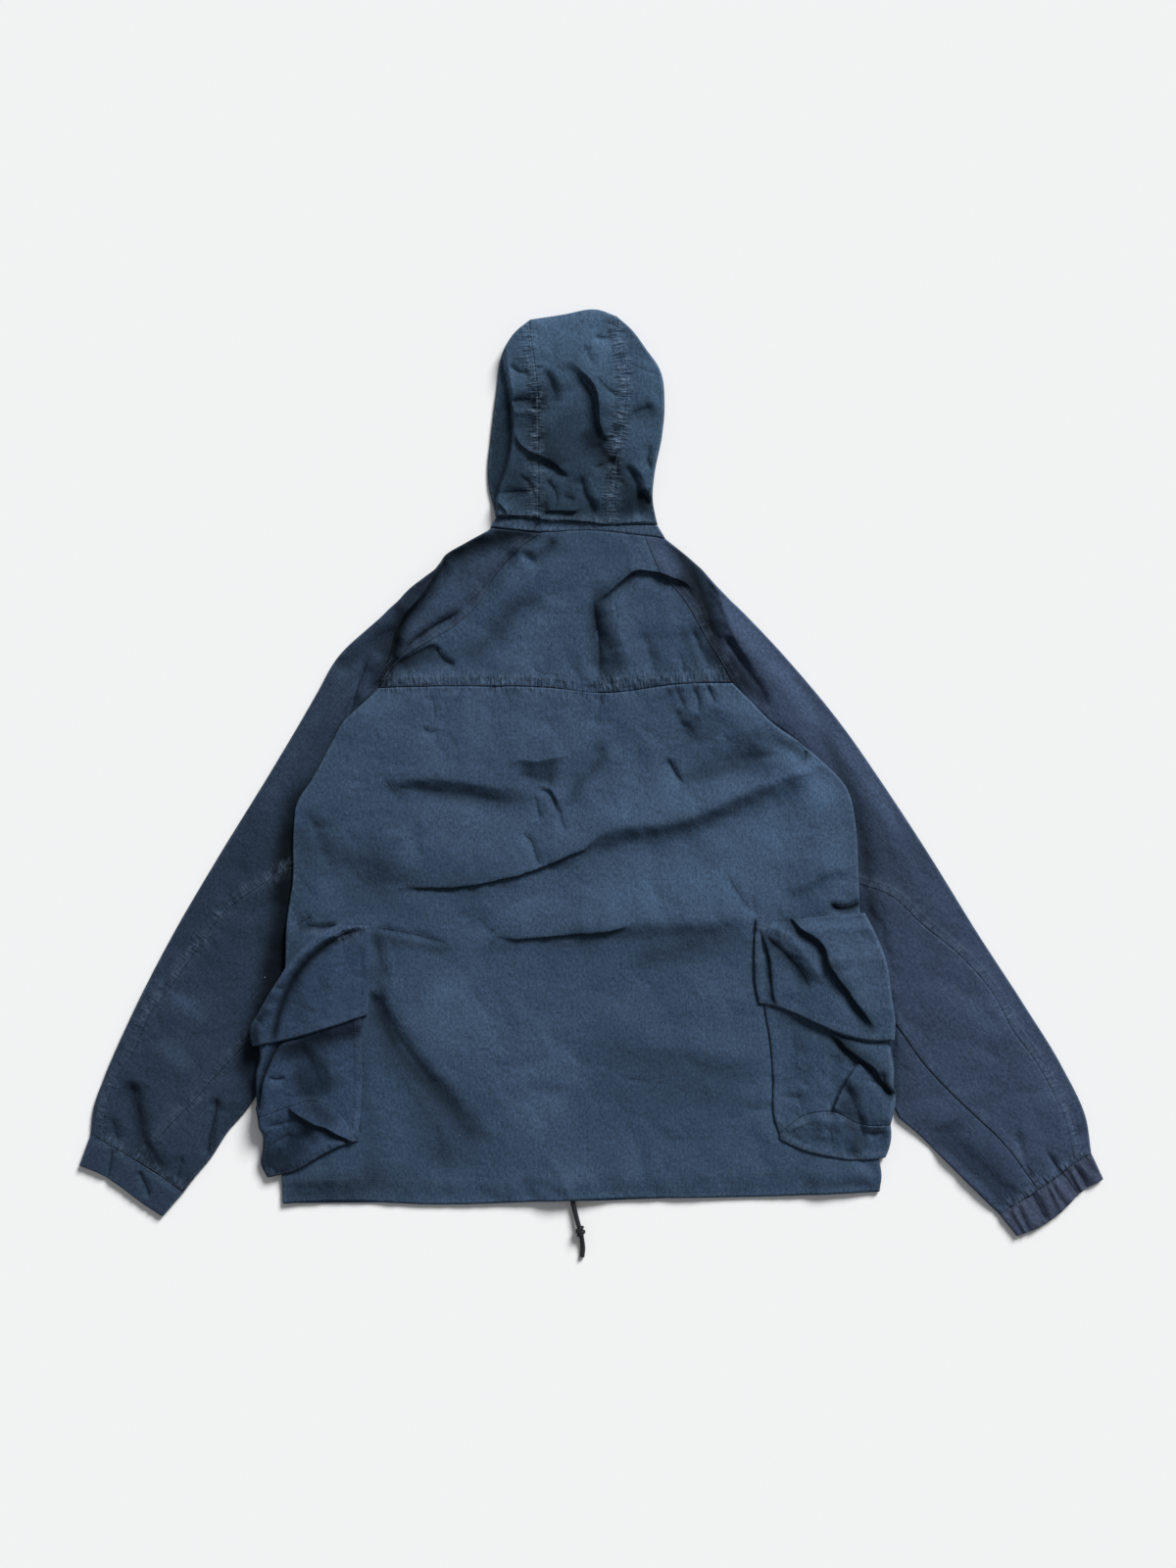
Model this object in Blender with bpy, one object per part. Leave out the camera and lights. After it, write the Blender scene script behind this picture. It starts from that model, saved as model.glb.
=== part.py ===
"""A hooded parka laid flat, back side up. Every cut piece is its own thin solid.

Sizes are in millimetres: x to the right and y up the back as the garment lies,
z up from the surface. The neck is at +y and the hem at -y.
"""

import bmesh
import bpy
import numpy as np

WALL = 1.2  # thickness of the cloth with its seam allowances
SEAM = 0.3  # gap between two pieces that are sewn together
REST = 5.0  # top of two layers that lie on each other
TURN = 5.0  # how far a folded piece runs back underneath
BEND = 2.5  # how far a fold reaches out in plan past its last flat point
TURNS = 4  # steps round a fold
TUCKED = 6.0  # lift of whatever lies on the tucked edge of a sleeve
SIDE_LIFT = 6.6  # the same at the top of the back panel
POCKET_LIFT = 2.5  # lift of the front panel over the pocket that runs under it
ON_TOP = 1.8  # a piece sewn on: its own wall and a seam gap
PLACKET_HALF = 18.0
PLACKET_LIFT = 1.7
LOWER_GAP = 1.0  # gap between a turned edge and the lower piece that it is sewn to
TO_METRES = 0.001


def smoothstep(value):
    value = np.clip(value, 0.0, 1.0)
    return value * value * (3.0 - 2.0 * value)


def smooth_line(points, steps=10):
    """A smooth line through the points of a short table, as many close points."""
    points = np.array(points, float)
    chords = np.hypot(*np.diff(points, axis=0).T)
    places = np.concatenate([[0.0], np.cumsum(chords)])
    slopes = np.gradient(points, places, axis=0)
    line = [points[:1]]
    for start in range(len(points) - 1):
        share = np.linspace(0.0, 1.0, steps + 1)[1:, None]
        gap = chords[start]
        line.append(
            (2 * share**3 - 3 * share**2 + 1) * points[start]
            + (share**3 - 2 * share**2 + share) * gap * slopes[start]
            + (3 * share**2 - 2 * share**3) * points[start + 1]
            + (share**3 - share**2) * gap * slopes[start + 1]
        )
    return np.vstack(line)


def span(points, cells, first=0.0, last=1.0):
    """Evenly spaced points along the smooth line through a table, one more than cells."""
    return spaced(points, np.linspace(first, last, cells + 1))


def spaced(points, shares):
    """Points at these shares of the length of the smooth line through a table."""
    line = smooth_line(points)
    run = np.concatenate([[0.0], np.cumsum(np.hypot(*np.diff(line, axis=0).T))])
    wanted = np.array(shares) * run[-1]
    return np.column_stack([np.interp(wanted, run, line[:, axis]) for axis in (0, 1)])


def share_at(points, index):
    """The share of the smooth line's length where it passes a point of its table."""
    steps = 10
    line = smooth_line(points, steps)
    run = np.concatenate([[0.0], np.cumsum(np.hypot(*np.diff(line, axis=0).T))])
    return run[index * steps] / run[-1]


def joined(*runs):
    """Runs that follow each other, each starting where the last one ended."""
    return np.vstack([runs[0]] + [run[1:] for run in runs[1:]])


def beside(x, y, points):
    """Signed distance from a line, plus to its left, and the share of its length."""
    line = smooth_line(points, 4)
    lengths = np.hypot(*np.diff(line, axis=0).T)
    run = np.concatenate([[0.0], np.cumsum(lengths)])
    nearest = np.full(np.shape(x), 1e9)
    signed = np.zeros(np.shape(x))
    share = np.zeros(np.shape(x))
    for index, length in enumerate(lengths):
        (ax, ay), (bx, by) = line[index], line[index + 1]
        ux, uy = (bx - ax) / length, (by - ay) / length
        along = np.clip((x - ax) * ux + (y - ay) * uy, 0.0, length)
        away = np.hypot(x - ax - along * ux, y - ay - along * uy)
        side = np.sign(ux * (y - ay) - uy * (x - ax))
        closer = away < nearest
        nearest = np.where(closer, away, nearest)
        signed = np.where(closer, away * side, signed)
        share = np.where(closer, (run[index] + along) / run[-1], share)
    return signed, share


def folds(x, y, table):
    """Height that the creases of a table add. A row: name, rise, left, right, points."""
    total = np.zeros(np.shape(x))
    for _, rise, left, right, points in table:
        away, share = beside(x, y, points)
        width = np.where(away > 0, left, right)
        ends = smoothstep(share / 0.25) * smoothstep((1.0 - share) / 0.25)
        total = total + rise * np.exp(-((away / width) ** 2)) * ends
    return total


def unit(vectors):
    return vectors / np.maximum(np.linalg.norm(vectors, axis=-1, keepdims=True), 1e-9)


def plan_grid(left, right, first=None, last=None, across=10, shares=None):
    """Plan points between four edges, straight where no edge is given."""
    if shares is None:
        edge = first if last is None else last
        shares = np.linspace(0.0, 1.0, across + 1 if edge is None else len(edge))
    share = np.array(shares)[:, None]
    if first is None:
        first = left[0] * (1 - share) + right[0] * share
    if last is None:
        last = left[-1] * (1 - share) + right[-1] * share
    u = share[None]
    v = np.linspace(0.0, 1.0, len(left))[:, None, None]
    ruled = left[:, None] * (1 - u) + right[:, None] * u
    ruled = ruled + first[None] * (1 - v) + last[None] * v
    corners = (left[0] * (1 - v) + left[-1] * v) * (1 - u)
    return ruled - corners - (right[0] * (1 - v) + right[-1] * v) * u


def turned(array, side):
    """The grid with the wanted edge as its first column."""
    if side in ("first", "last"):
        array = np.swapaxes(array, 0, 1)
    return array[:, ::-1] if side in ("right", "last") else array


def turned_back(array, side):
    if side in ("right", "last"):
        array = array[:, ::-1]
    return np.swapaxes(array, 0, 1) if side in ("first", "last") else array


def inward(grid):
    """For the first column: the way into the piece, longer where the edge is oblique."""
    way = unit(grid[:, 1] - grid[:, 0])
    edge = unit(np.gradient(grid[:, 0], axis=0))
    across = np.abs(way[:, 0] * edge[:, 1] - way[:, 1] * edge[:, 0])
    return way / np.maximum(across, 0.4)[:, None]


def along_rows(grid, distances):
    """Plan points at these distances along each row from its first column."""
    places = np.empty((*distances.shape, 2))
    for row, wanted in enumerate(distances):
        run = np.concatenate([[0.0], np.cumsum(np.hypot(*np.diff(grid[row], axis=0).T))])
        for axis in (0, 1):
            places[row, :, axis] = np.interp(wanted, run, grid[row, :, axis])
    return places


class Fold:
    """An edge that is turned under: how far it bends out and how far it runs back."""

    def __init__(self, under, bend=BEND, back=TURN, strips=1, rows=None):
        self.under = under
        self.bend = bend
        self.back = back
        self.strips = strips
        self.rows = rows

    def span_of(self, count):
        first, last = self.rows or (0, count - 1)
        return slice(first, last + 1)

    def inset(self, count):
        amounts = np.full(count, SEAM / 2)
        amounts[self.span_of(count)] = self.bend
        return amounts

    def strip(self, grid, z, side):
        """Grid of the bend and of what runs back, from the edge of the piece on."""
        grid, z = turned(grid, side), turned(z, side)
        rows = self.span_of(len(z))
        way = inward(grid[rows])
        edge = grid[rows, 0]
        high = z[rows, 0]
        low = self.under(edge[:, 0], edge[:, 1])
        back = np.broadcast_to(np.reshape(self.back, (-1, 1)), (len(edge), 1))
        plans, heights = [edge], [high]
        for turn in range(1, TURNS + 1):
            angle = np.pi * turn / TURNS
            plans.append(edge - way * self.bend * np.sin(angle))
            heights.append((high + low) / 2 + (high - low) / 2 * np.cos(angle))
        shares = np.arange(1, self.strips + 1) / self.strips
        oblique = np.linalg.norm(way, axis=1, keepdims=True)
        returned = along_rows(grid[rows], back * oblique * shares)
        plan = np.concatenate([np.stack(plans, axis=1), returned], axis=1)
        low_run = self.under(returned[..., 0], returned[..., 1])
        return plan, np.concatenate([np.stack(heights, axis=1), low_run], axis=1)


def add_grid(mesh, plan, z):
    rows, columns = z.shape
    made = bmesh.ops.create_grid(mesh, x_segments=columns - 1, y_segments=rows - 1, size=1.0)
    for index, vertex in enumerate(made["verts"]):
        row, column = divmod(index, columns)
        x, y = plan[row, column]
        vertex.co = (x * TO_METRES, y * TO_METRES, z[row, column] * TO_METRES)


def solid(name, grids, faces_up=True):
    """Grids of cloth that meet along an edge, as one closed solid inside its outer face."""
    mesh = bmesh.new()
    for plan, z in grids:
        add_grid(mesh, plan, z)
    bmesh.ops.remove_doubles(mesh, verts=mesh.verts[:], dist=2e-6)
    bmesh.ops.recalc_face_normals(mesh, faces=mesh.faces[:])
    mesh.faces.ensure_lookup_table()
    rows, columns = grids[0][1].shape
    middle = mesh.faces[(rows - 1) // 2 * (columns - 1) + (columns - 1) // 2]
    if (middle.normal.z > 0) != faces_up:
        bmesh.ops.reverse_faces(mesh, faces=mesh.faces[:])
    data = bpy.data.meshes.new(name)
    mesh.to_mesh(data)
    mesh.free()
    made = bpy.data.objects.new(name, data)
    bpy.context.scene.collection.objects.link(made)
    thick = made.modifiers.new("wall", "SOLIDIFY")
    thick.thickness = WALL * TO_METRES
    thick.offset = -1.0


def piece(name, grid, height, faces_up=True, **edges):
    """A cut piece from its plan and the height of its outer face.

    An edge is a seam unless it is given as a Fold or as the distance that it is set in.
    """
    grid = grid.copy()
    for side in ("first", "last", "left", "right"):
        edge = edges.get(side, SEAM / 2)
        view = turned(grid, side)
        inset = edge.inset(len(view)) if isinstance(edge, Fold) else edge
        way = inward(view)
        if isinstance(edge, Fold):
            rows = edge.span_of(len(view))
            way[rows] = inward(view[rows])
        shift = way * np.reshape(inset, (-1, 1))
        crowded = np.linalg.norm(shift, axis=1) > 0.6 * np.linalg.norm(view[:, 1] - view[:, 0], axis=1)
        fade = np.linspace(1.0, 0.0, view.shape[1]) * crowded[:, None]
        fade[:, 0] = 1.0
        view = view + shift[:, None] * fade[..., None]
        grid = turned_back(view, side).copy()
    z = height(grid[..., 0], grid[..., 1])
    grids = [(grid, z)]
    for side, edge in edges.items():
        if isinstance(edge, Fold):
            grids.append(edge.strip(grid, z, side))
    solid(name, grids, faces_up)


# Outlines and seams. Each is a short table of (x, y) points on one line, listed from
# the neck towards the hem or the cuff.
NECK_LEFT = [(-119, 289), (-60, 283)]
NECK_BACK = [(-60, 283), (0, 285), (63, 279)]
NECK_RIGHT = [(63, 279), (87, 276)]
RAGLAN_LEFT = [(-60, 283), (-85, 263), (-113, 232), (-137, 194), (-163, 171), (-185, 158), (-229, 128), (-250, 100)]
RAGLAN_RIGHT = [(63, 279), (70, 261), (88, 229), (111, 200), (124, 177), (137, 154), (152, 130), (166, 106)]
YOKE_SEAM = [(-250, 100), (-142, 102), (-50, 100), (7, 94), (111, 105), (166, 106)]
SIDE_LEFT = [
    (-250, 100), (-274, 77), (-292, 59), (-305, 36), (-328, -7), (-346, -36), (-350, -70), (-351, -128),
    (-357, -168), (-359, -214), (-361, -312), (-363, -404), (-364, -473), (-363, -506),
]
SIDE_RIGHT = [
    (166, 106), (186, 86), (209, 62), (243, 37), (272, 13), (301, -20), (310, -59), (313, -105),
    (315, -156), (319, -243), (325, -346), (332, -415), (338, -452), (341, -473), (339, -492),
]
HEM = [(-363, -506), (-303, -503), (-188, -507), (-4, -501), (226, -497), (339, -492)]
OUTER_LEFT = [
    (-119, 289), (-165, 262), (-205, 229), (-257, 177), (-301, 133), (-320, 99), (-372, 10), (-441, -102),
    (-499, -202), (-545, -294), (-573, -358), (-585, -392), (-589, -425),
]
OUTER_RIGHT = [
    (87, 276), (122, 248), (163, 206), (226, 139), (295, 56), (341, -10), (398, -97), (456, -191),
    (508, -271), (554, -346), (582, -407), (588, -447),
]
TUCK_LEFT = [(-251, 99), (-277, 78), (-294, 60), (-293, 41), (-296, 20), (-305, -13), (-317, -64), (-328, -109)]
TUCK_RIGHT = [(167, 105), (188, 87), (210, 64), (216, 45), (233, 20), (256, -7), (275, -41), (283, -82), (289, -124)]
HIDDEN_LEFT = [(-326, -116), (-332, -162), (-346, -225), (-359, -289), (-370, -329), (-393, -378)]
HIDDEN_RIGHT = [(289, -131), (297, -162), (309, -208), (320, -254), (333, -312), (344, -363), (361, -405)]
INNER_LEFT = [(-393, -378), (-407, -398), (-427, -421), (-447, -452), (-467, -476), (-479, -492)]
INNER_RIGHT = [(361, -405), (387, -427), (410, -450), (433, -473), (456, -496), (480, -519)]
ELBOW_SEAM_LEFT = [
    (-328, -109), (-355, -114), (-390, -133), (-438, -171), (-461, -204), (-490, -245), (-517, -281), (-540, -330),
    (-561, -362), (-572, -398), (-576, -432),
]
ELBOW_SEAM_RIGHT = [
    (289, -124), (318, -131), (350, -143), (388, -177), (434, -215), (472, -259), (495, -302), (522, -339),
    (542, -375), (557, -409), (569, -459),
]
UNDER_SEAM_LEFT = [(-357, -279), (-393, -306), (-438, -353), (-461, -379), (-487, -406), (-510, -431), (-526, -462)]
UNDER_SEAM_RIGHT = [(338, -270), (362, -302), (388, -339), (423, -377), (455, -407), (481, -432), (525, -490)]
CUFF_SEAM_LEFT = [(-589, -425), (-576, -432), (-526, -462), (-479, -492)]
CUFF_SEAM_RIGHT = [(588, -447), (569, -459), (525, -490), (480, -519)]
CUFF_END_LEFT = [(-602, -461), (-579, -470), (-556, -484), (-531, -503), (-504, -521)]
CUFF_END_RIGHT = [(602, -477), (577, -491), (554, -514), (525, -534), (500, -544)]
HOOD_SEAM_LEFT = [(-62, 299), (-62, 390), (-63, 447), (-67, 482), (-72, 521), (-72, 532)]
HOOD_SEAM_RIGHT = [(28, 292), (27, 321), (30, 355), (39, 419), (42, 447), (39, 482), (32, 511), (30, 536)]
HOOD_EDGE_LEFT = [
    (-112, 301), (-121, 338), (-122, 355), (-119, 390), (-112, 447), (-105, 493), (-91, 516), (-72, 532),
]
HOOD_EDGE_RIGHT = [
    (78, 292), (72, 323), (74, 350), (83, 396), (86, 430), (80, 475), (65, 497), (48, 520), (30, 536),
]
CROWN = [(-72, 532), (-33, 538), (7, 544), (30, 536)]
HOOD_JOINT = [(-112, 301), (-62, 299), (-27, 297), (28, 292), (78, 291)]

# The pockets, as they show on the back.
BAG_LEFT_EDGE = [(-365, -252), (-375, -275), (-386, -298), (-389, -319), (-389, -335), (-393, -352), (-393, -371), (-386, -404)]
BAG_LEFT_SEAM = [(-271, -199), (-270, -289), (-269, -358), (-273, -429)]
BAG_LEFT_RIDGE = [(-386, -404), (-361, -394), (-331, -383), (-303, -392), (-273, -429)]
GUSSET_LEFT_EDGE = [(-386, -404), (-386, -438), (-388, -461), (-381, -475)]
GUSSET_LEFT_FOOT = [(-381, -475), (-349, -467), (-320, -450), (-292, -436), (-273, -432)]
FLAP_LEFT_EDGE = [(-361, -186), (-362, -214), (-375, -260), (-396, -294), (-398, -307), (-397, -319)]
FLAP_LEFT_SIDE = [(-259, -179), (-259, -214), (-260, -248), (-262, -283)]
BAG_RIGHT_EDGE = [(332, -225), (341, -252), (347, -289), (349, -314), (355, -340), (357, -381), (351, -412)]
BAG_RIGHT_SEAM = [(203, -199), (203, -277), (209, -312), (213, -358), (214, -404), (220, -423)]
BAG_RIGHT_RIDGE = [(220, -423), (249, -401), (281, -396), (318, -412), (351, -412)]
GUSSET_RIGHT_EDGE = [(351, -412), (352, -427), (350, -440), (346, -451)]
GUSSET_RIGHT_FOOT = [(221, -429), (243, -440), (281, -450), (318, -454), (346, -451)]
FLAP_LEFT_FOOT = [(-397, -319), (-372, -315), (-315, -300), (-262, -283)]
FLAP_RIGHT_EDGE = [(321, -164), (332, -185), (344, -214), (352, -260), (356, -289), (355, -312)]
FLAP_RIGHT_SIDE = [(193, -171), (191, -214), (193, -254), (197, -270)]
FLAP_RIGHT_FOOT = [(197, -270), (218, -274), (260, -291), (295, -306), (329, -313), (355, -312)]

# Large creases. Each row: name, rise, width to the left of its run, width to the
# right, and the points of its crest. A width is where the crest has fallen to a third.
BODY_FOLDS = [
    ("long fold across the back", 6.5, 7, 30, [(279, 12), (180, -20), (42, -57), (-67, -100), (-200, -128)]),
    ("fold at the waist", 4.5, 8, 26, [(189, -169), (42, -174), (-113, -182)]),
    ("slack over the left pocket", 4.5, 24, 9, [(-252, -254), (-200, -340), (-113, -436)]),
    ("gather left of centre", 4.0, 9, 20, [(-9, 20), (-43, -13), (-58, -70)]),
    ("gather right of the yoke", 4.0, 22, 9, [(59, 98), (93, 51), (113, -18)]),
    ("drag line to the right arm", 3.0, 9, 16, [(191, 54), (226, 43), (263, 22)]),
    ("hollow under the left arm", -1.6, 16, 22, [(-274, -20), (-188, -13), (-85, -30)]),
    ("hollow at the hem, left", -1.5, 22, 22, [(-188, -386), (-181, -432), (-174, -478)]),
]
UPPER_FOLDS = [
    ("crease down the middle", 3.0, 8, 14, [(-2, 204), (4, 148), (1, 112)]),
    ("drag line from the neck, left", 4.0, 16, 9, [(-64, 217), (-113, 169), (-163, 144)]),
    ("drag line from the neck, right", 3.0, 9, 16, [(42, 217), (74, 171), (99, 130)]),
    ("fold behind the left shoulder", 6.0, 8, 18, [(-158, 268), (-200, 217), (-232, 169), (-243, 114)]),
    ("fold on the left upper arm", 4.0, 14, 10, [(-266, 135), (-289, 95), (-308, 43)]),
    ("fold above the left elbow", 3.5, 16, 16, [(-384, -36), (-411, -82), (-427, -133)]),
    ("left forearm fold", 3.5, 10, 10, [(-447, -367), (-450, -415), (-458, -459)]),
    ("fold by the left cuff", 3.0, 9, 9, [(-531, -371), (-522, -415), (-512, -450)]),
    ("fold behind the right shoulder", 5.0, 16, 8, [(99, 256), (127, 215), (143, 160)]),
    ("fold on the right upper arm", 4.5, 16, 8, [(151, 160), (182, 114), (217, 77)]),
    ("soft fold above the right elbow", 3.5, 18, 14, [(297, -13), (335, -70), (347, -125)]),
    ("right forearm fold", 3.5, 9, 15, [(404, -390), (444, -440), (502, -484)]),
]
HOOD_FOLDS = [
    ("crown fold", 7.0, 9, 16, [(-33, 484), (10, 447), (19, 401), (10, 367)]),
    ("fold across the nape", 5.0, 9, 14, [(53, 355), (7, 365), (-39, 358), (-79, 376)]),
    ("fold right of the nape", 5.0, 10, 9, [(33, 376), (59, 338), (65, 305)]),
    ("fold on the left side", 4.0, 9, 14, [(-44, 457), (-71, 445), (-89, 420)]),
]
BAG_LEFT_FOLDS = [
    ("upper bellows fold", 9.0, 9, 16, [(-393, -346), (-349, -339), (-297, -351)]),
    ("lower bellows fold", 9.0, 10, 12, [(-388, -394), (-328, -376), (-275, -415)]),
]
FLAP_LEFT_FOLDS = [
    ("rolled edge of the flap", 8.0, 12, 7, [(-266, -185), (-319, -225), (-354, -268), (-386, -321)]),
]
BAG_RIGHT_FOLDS = [
    ("upper bellows fold", 9.0, 10, 14, [(270, -316), (309, -348), (348, -385)]),
    ("lower bellows fold", 9.0, 12, 10, [(226, -411), (279, -388), (341, -406)]),
]
FLAP_RIGHT_FOLDS = [
    ("deep fold of the flap", 8.0, 7, 15, [(233, -174), (274, -206), (302, -254), (332, -305)]),
    ("soft fold of the flap", 5.0, 9, 12, [(210, -183), (233, -225), (265, -277)]),
]

# The inner edge of each sleeve against y, where the body or a pocket lies on it.
SLEEVE_EDGE_LEFT = np.vstack([TUCK_LEFT, HIDDEN_LEFT, INNER_LEFT[1:]])[::-1]
SLEEVE_EDGE_RIGHT = np.vstack([TUCK_RIGHT, HIDDEN_RIGHT, INNER_RIGHT[1:]])[::-1]
ARM_TOP = 98.0
ARM_FULL = 66.0
LIFT_MARGIN = 4.0
LIFT_FADE = 60.0
POCKET_TOP = -169.0
POCKET_FOOT = -489.0
POCKET_FADE = 14.0


def over_sleeve(x, y):
    """1 where a sleeve is tucked under, falling to 0 beside it."""
    ramp = smoothstep((ARM_TOP - y) / (ARM_TOP - ARM_FULL))
    left = np.interp(y, SLEEVE_EDGE_LEFT[:, 1], SLEEVE_EDGE_LEFT[:, 0])
    right = np.interp(y, SLEEVE_EDGE_RIGHT[:, 1], SLEEVE_EDGE_RIGHT[:, 0])
    from_left = 1.0 - smoothstep((x - left - LIFT_MARGIN) / LIFT_FADE)
    from_right = 1.0 - smoothstep((right - x - LIFT_MARGIN) / LIFT_FADE)
    return ramp * np.maximum(from_left, from_right)


def over_pocket(x, y):
    """1 where the front half of a pocket runs under the front panel."""
    tall = smoothstep((POCKET_TOP - y) / POCKET_FADE) * smoothstep((y - POCKET_FOOT) / POCKET_FADE)
    left = smoothstep((-278.0 - x) / 28.0)
    right = smoothstep((x - 237.0) / 28.0)
    return tall * np.maximum(left, right)


def over_placket(x, y):
    return 1.0 - smoothstep((np.abs(x) - PLACKET_HALF - 10.0) / 14.0)


def slack(x, y):
    """Shallow waves of cloth that isn't pressed."""
    wave = 0.25 * np.sin(x / 41.0 + 1.3) * np.sin(y / 57.0 + 0.4)
    return wave + 0.15 * np.sin((x + 0.6 * y) / 23.0) * np.sin((y - 0.4 * x) / 35.0)


def surface(x, y):
    return np.zeros(np.shape(x))


def sleeve_floor(x, y):
    """Under a pocket: the surface, or the sleeve tucked below."""
    return TUCKED * over_sleeve(x, y)


def front_floor(x, y):
    lift = TUCKED * over_sleeve(x, y) + POCKET_LIFT * over_pocket(x, y)
    return lift + PLACKET_LIFT * over_placket(x, y)


def rest(x, y):
    return REST + slack(x, y)


def back_rest(x, y):
    """The back panel without its creases."""
    lift = SIDE_LIFT * over_sleeve(x, y) + POCKET_LIFT * over_pocket(x, y)
    return REST + slack(x, y) + lift


CORD_EXIT = (-25, -503)


def body_top(x, y):
    cord = np.exp(-(((x - CORD_EXIT[0]) / 40.0) ** 2) - ((y - CORD_EXIT[1]) / 60.0) ** 2)
    return back_rest(x, y) + folds(x, y, BODY_FOLDS) + 6.4 * cord


# What covers each sleeve: the side of the body, then the edge of the pocket.
COVER_LEFT = [(-250, 100), (-292, 59), (-328, -7), (-350, -70), (-357, -168), (-375, -260), (-398, -306), (-393, -371), (-386, -473)]
COVER_RIGHT = [(166, 106), (209, 62), (272, 13), (310, -59), (315, -156), (344, -214), (356, -289), (357, -381), (347, -455)]


def uncovered(x, y):
    """1 on the open part of a sleeve, 0 where the body or a pocket lies on it."""
    left = np.array(COVER_LEFT[::-1], float)
    right = np.array(COVER_RIGHT[::-1], float)
    open_left = smoothstep((np.interp(y, left[:, 1], left[:, 0]) - x - 3.0) / 14.0)
    open_right = smoothstep((x - np.interp(y, right[:, 1], right[:, 0]) - 3.0) / 14.0)
    above = smoothstep((y - 98.0) / 16.0)
    return np.maximum(above, np.where(x < 0.0, open_left, open_right))


def upper_top(x, y):
    """The yoke and both sleeves, which share their creases across the raglan seams."""
    return rest(x, y) + folds(x, y, UPPER_FOLDS) * uncovered(x, y)


# The hood's left side lies in two steps: its lower layer shows past the upper one.
HOOD_STEP = [(-114, 301), (-110, 332), (-101, 358), (-94, 396), (-96, 447), (-101, 503), (-85, 524)]


def hood_top(x, y):
    away, _ = beside(x, y, HOOD_STEP)
    dome = smoothstep((y - 301.0) / 60.0)
    upper = smoothstep((2.0 - away) / 6.0)
    return rest(x, y) - 1.4 * (1.0 - upper) * dome + upper * dome * (3.0 + folds(x, y, HOOD_FOLDS))


def cuff_top(x, y):
    """Gathers of the cuffs: raised waves that fade out at the sleeve."""
    side = np.where(x < 0.0, -1.0, 1.0)
    across = 0.86 * x + side * 0.5 * y
    from_seam = np.minimum(
        np.abs(beside(x, y, CUFF_SEAM_LEFT)[0]), np.abs(beside(x, y, CUFF_SEAM_RIGHT)[0])
    )
    gathers = 1.3 * np.sin(across / 2.3) * smoothstep(from_seam / 9.0)
    return rest(x, y) + 1.2 * smoothstep(from_seam / 12.0) + gathers


def pocket_puff(x, y, seam, edge, top, foot):
    """How far a pocket stands off the back: nothing at its seam, most by its edge."""
    across = smoothstep((x - seam) / (edge - seam))
    tall = smoothstep((top - y) / 40.0) * smoothstep((y - foot) / 45.0)
    return 5.0 * across * tall


def below(x, y, foot):
    """0 above the foot of a flap and 1 well below it."""
    away, _ = beside(x, y, foot)
    return smoothstep((away - 3.0) / 12.0)


def left_pocket_rest(x, y):
    puff = pocket_puff(x, y, -271.0, -349.0, -185.0, -478.0)
    return back_rest(x, y) + ON_TOP + puff


def right_pocket_rest(x, y):
    puff = pocket_puff(x, y, 212.0, 295.0, -185.0, -457.0)
    return back_rest(x, y) + ON_TOP + puff


def bag_left_top(x, y):
    creases = folds(x, y, BAG_LEFT_FOLDS) * below(x, y, FLAP_LEFT_FOOT)
    return left_pocket_rest(x, y) + creases


def bag_right_top(x, y):
    creases = folds(x, y, BAG_RIGHT_FOLDS) * below(x, y, FLAP_RIGHT_FOOT)
    return right_pocket_rest(x, y) + creases


def flap_left_top(x, y):
    rise = 2.4 * smoothstep((-181.0 - y) / 12.0)
    return left_pocket_rest(x, y) + rise + folds(x, y, FLAP_LEFT_FOLDS)


def flap_right_top(x, y):
    rise = 2.4 * smoothstep((-171.0 - y) / 12.0)
    return right_pocket_rest(x, y) + rise + folds(x, y, FLAP_RIGHT_FOLDS)


def clear_scene():
    for old in list(bpy.data.objects):
        bpy.data.objects.remove(old)


# Columns across the wide panels, closer where they climb over a sleeve.
BACK_SHARES = np.concatenate(
    [np.linspace(0.0, 0.13, 7)[:-1], np.linspace(0.13, 0.87, 14), np.linspace(0.87, 1.0, 7)[1:]]
)
FRONT_SHARES = np.array([0.0, 0.05, 0.1, 0.15, 0.22, 0.34, 0.6, 0.8, 0.92, 1.0])

# Rows down the back panel. Each row: cells, and the share of the left and of the
# right side edge where the band ends. The long fold runs down to the left.
BACK_BANDS = [
    (3, 0.09, 0.09),
    (4, 0.40, 0.215),
    (3, 0.46, 0.265),
    (3, 0.495, 0.49),
    (2, 0.53, 0.525),
    (9, 1.0, 1.0),
]


def side_rows():
    """Points down both side edges of the back panel, which the front panels share."""
    left, right, start = [SIDE_LEFT[:1]], [SIDE_RIGHT[:1]], (0.0, 0.0)
    for cells, left_end, right_end in BACK_BANDS:
        left.append(span(SIDE_LEFT, cells, start[0], left_end)[1:])
        right.append(span(SIDE_RIGHT, cells, start[1], right_end)[1:])
        start = left_end, right_end
    return np.vstack(left), np.vstack(right)


RAGLAN_CELLS = 7
# Below the arm the turned edge starts narrow, so that it clears the end of the raglan.
NARROW_TURN = (0.8, 3.0)


def turn_widths(count):
    widths = np.full(count, TURN)
    widths[: len(NARROW_TURN)] = NARROW_TURN
    return widths


def lower_inset(raglan_rows, count):
    """How far a lower piece is set in: a seam at the raglan, then the turned edge."""
    raglan = np.full(raglan_rows, SEAM / 2)
    return np.concatenate([raglan, BEND + turn_widths(count) + LOWER_GAP])


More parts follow.
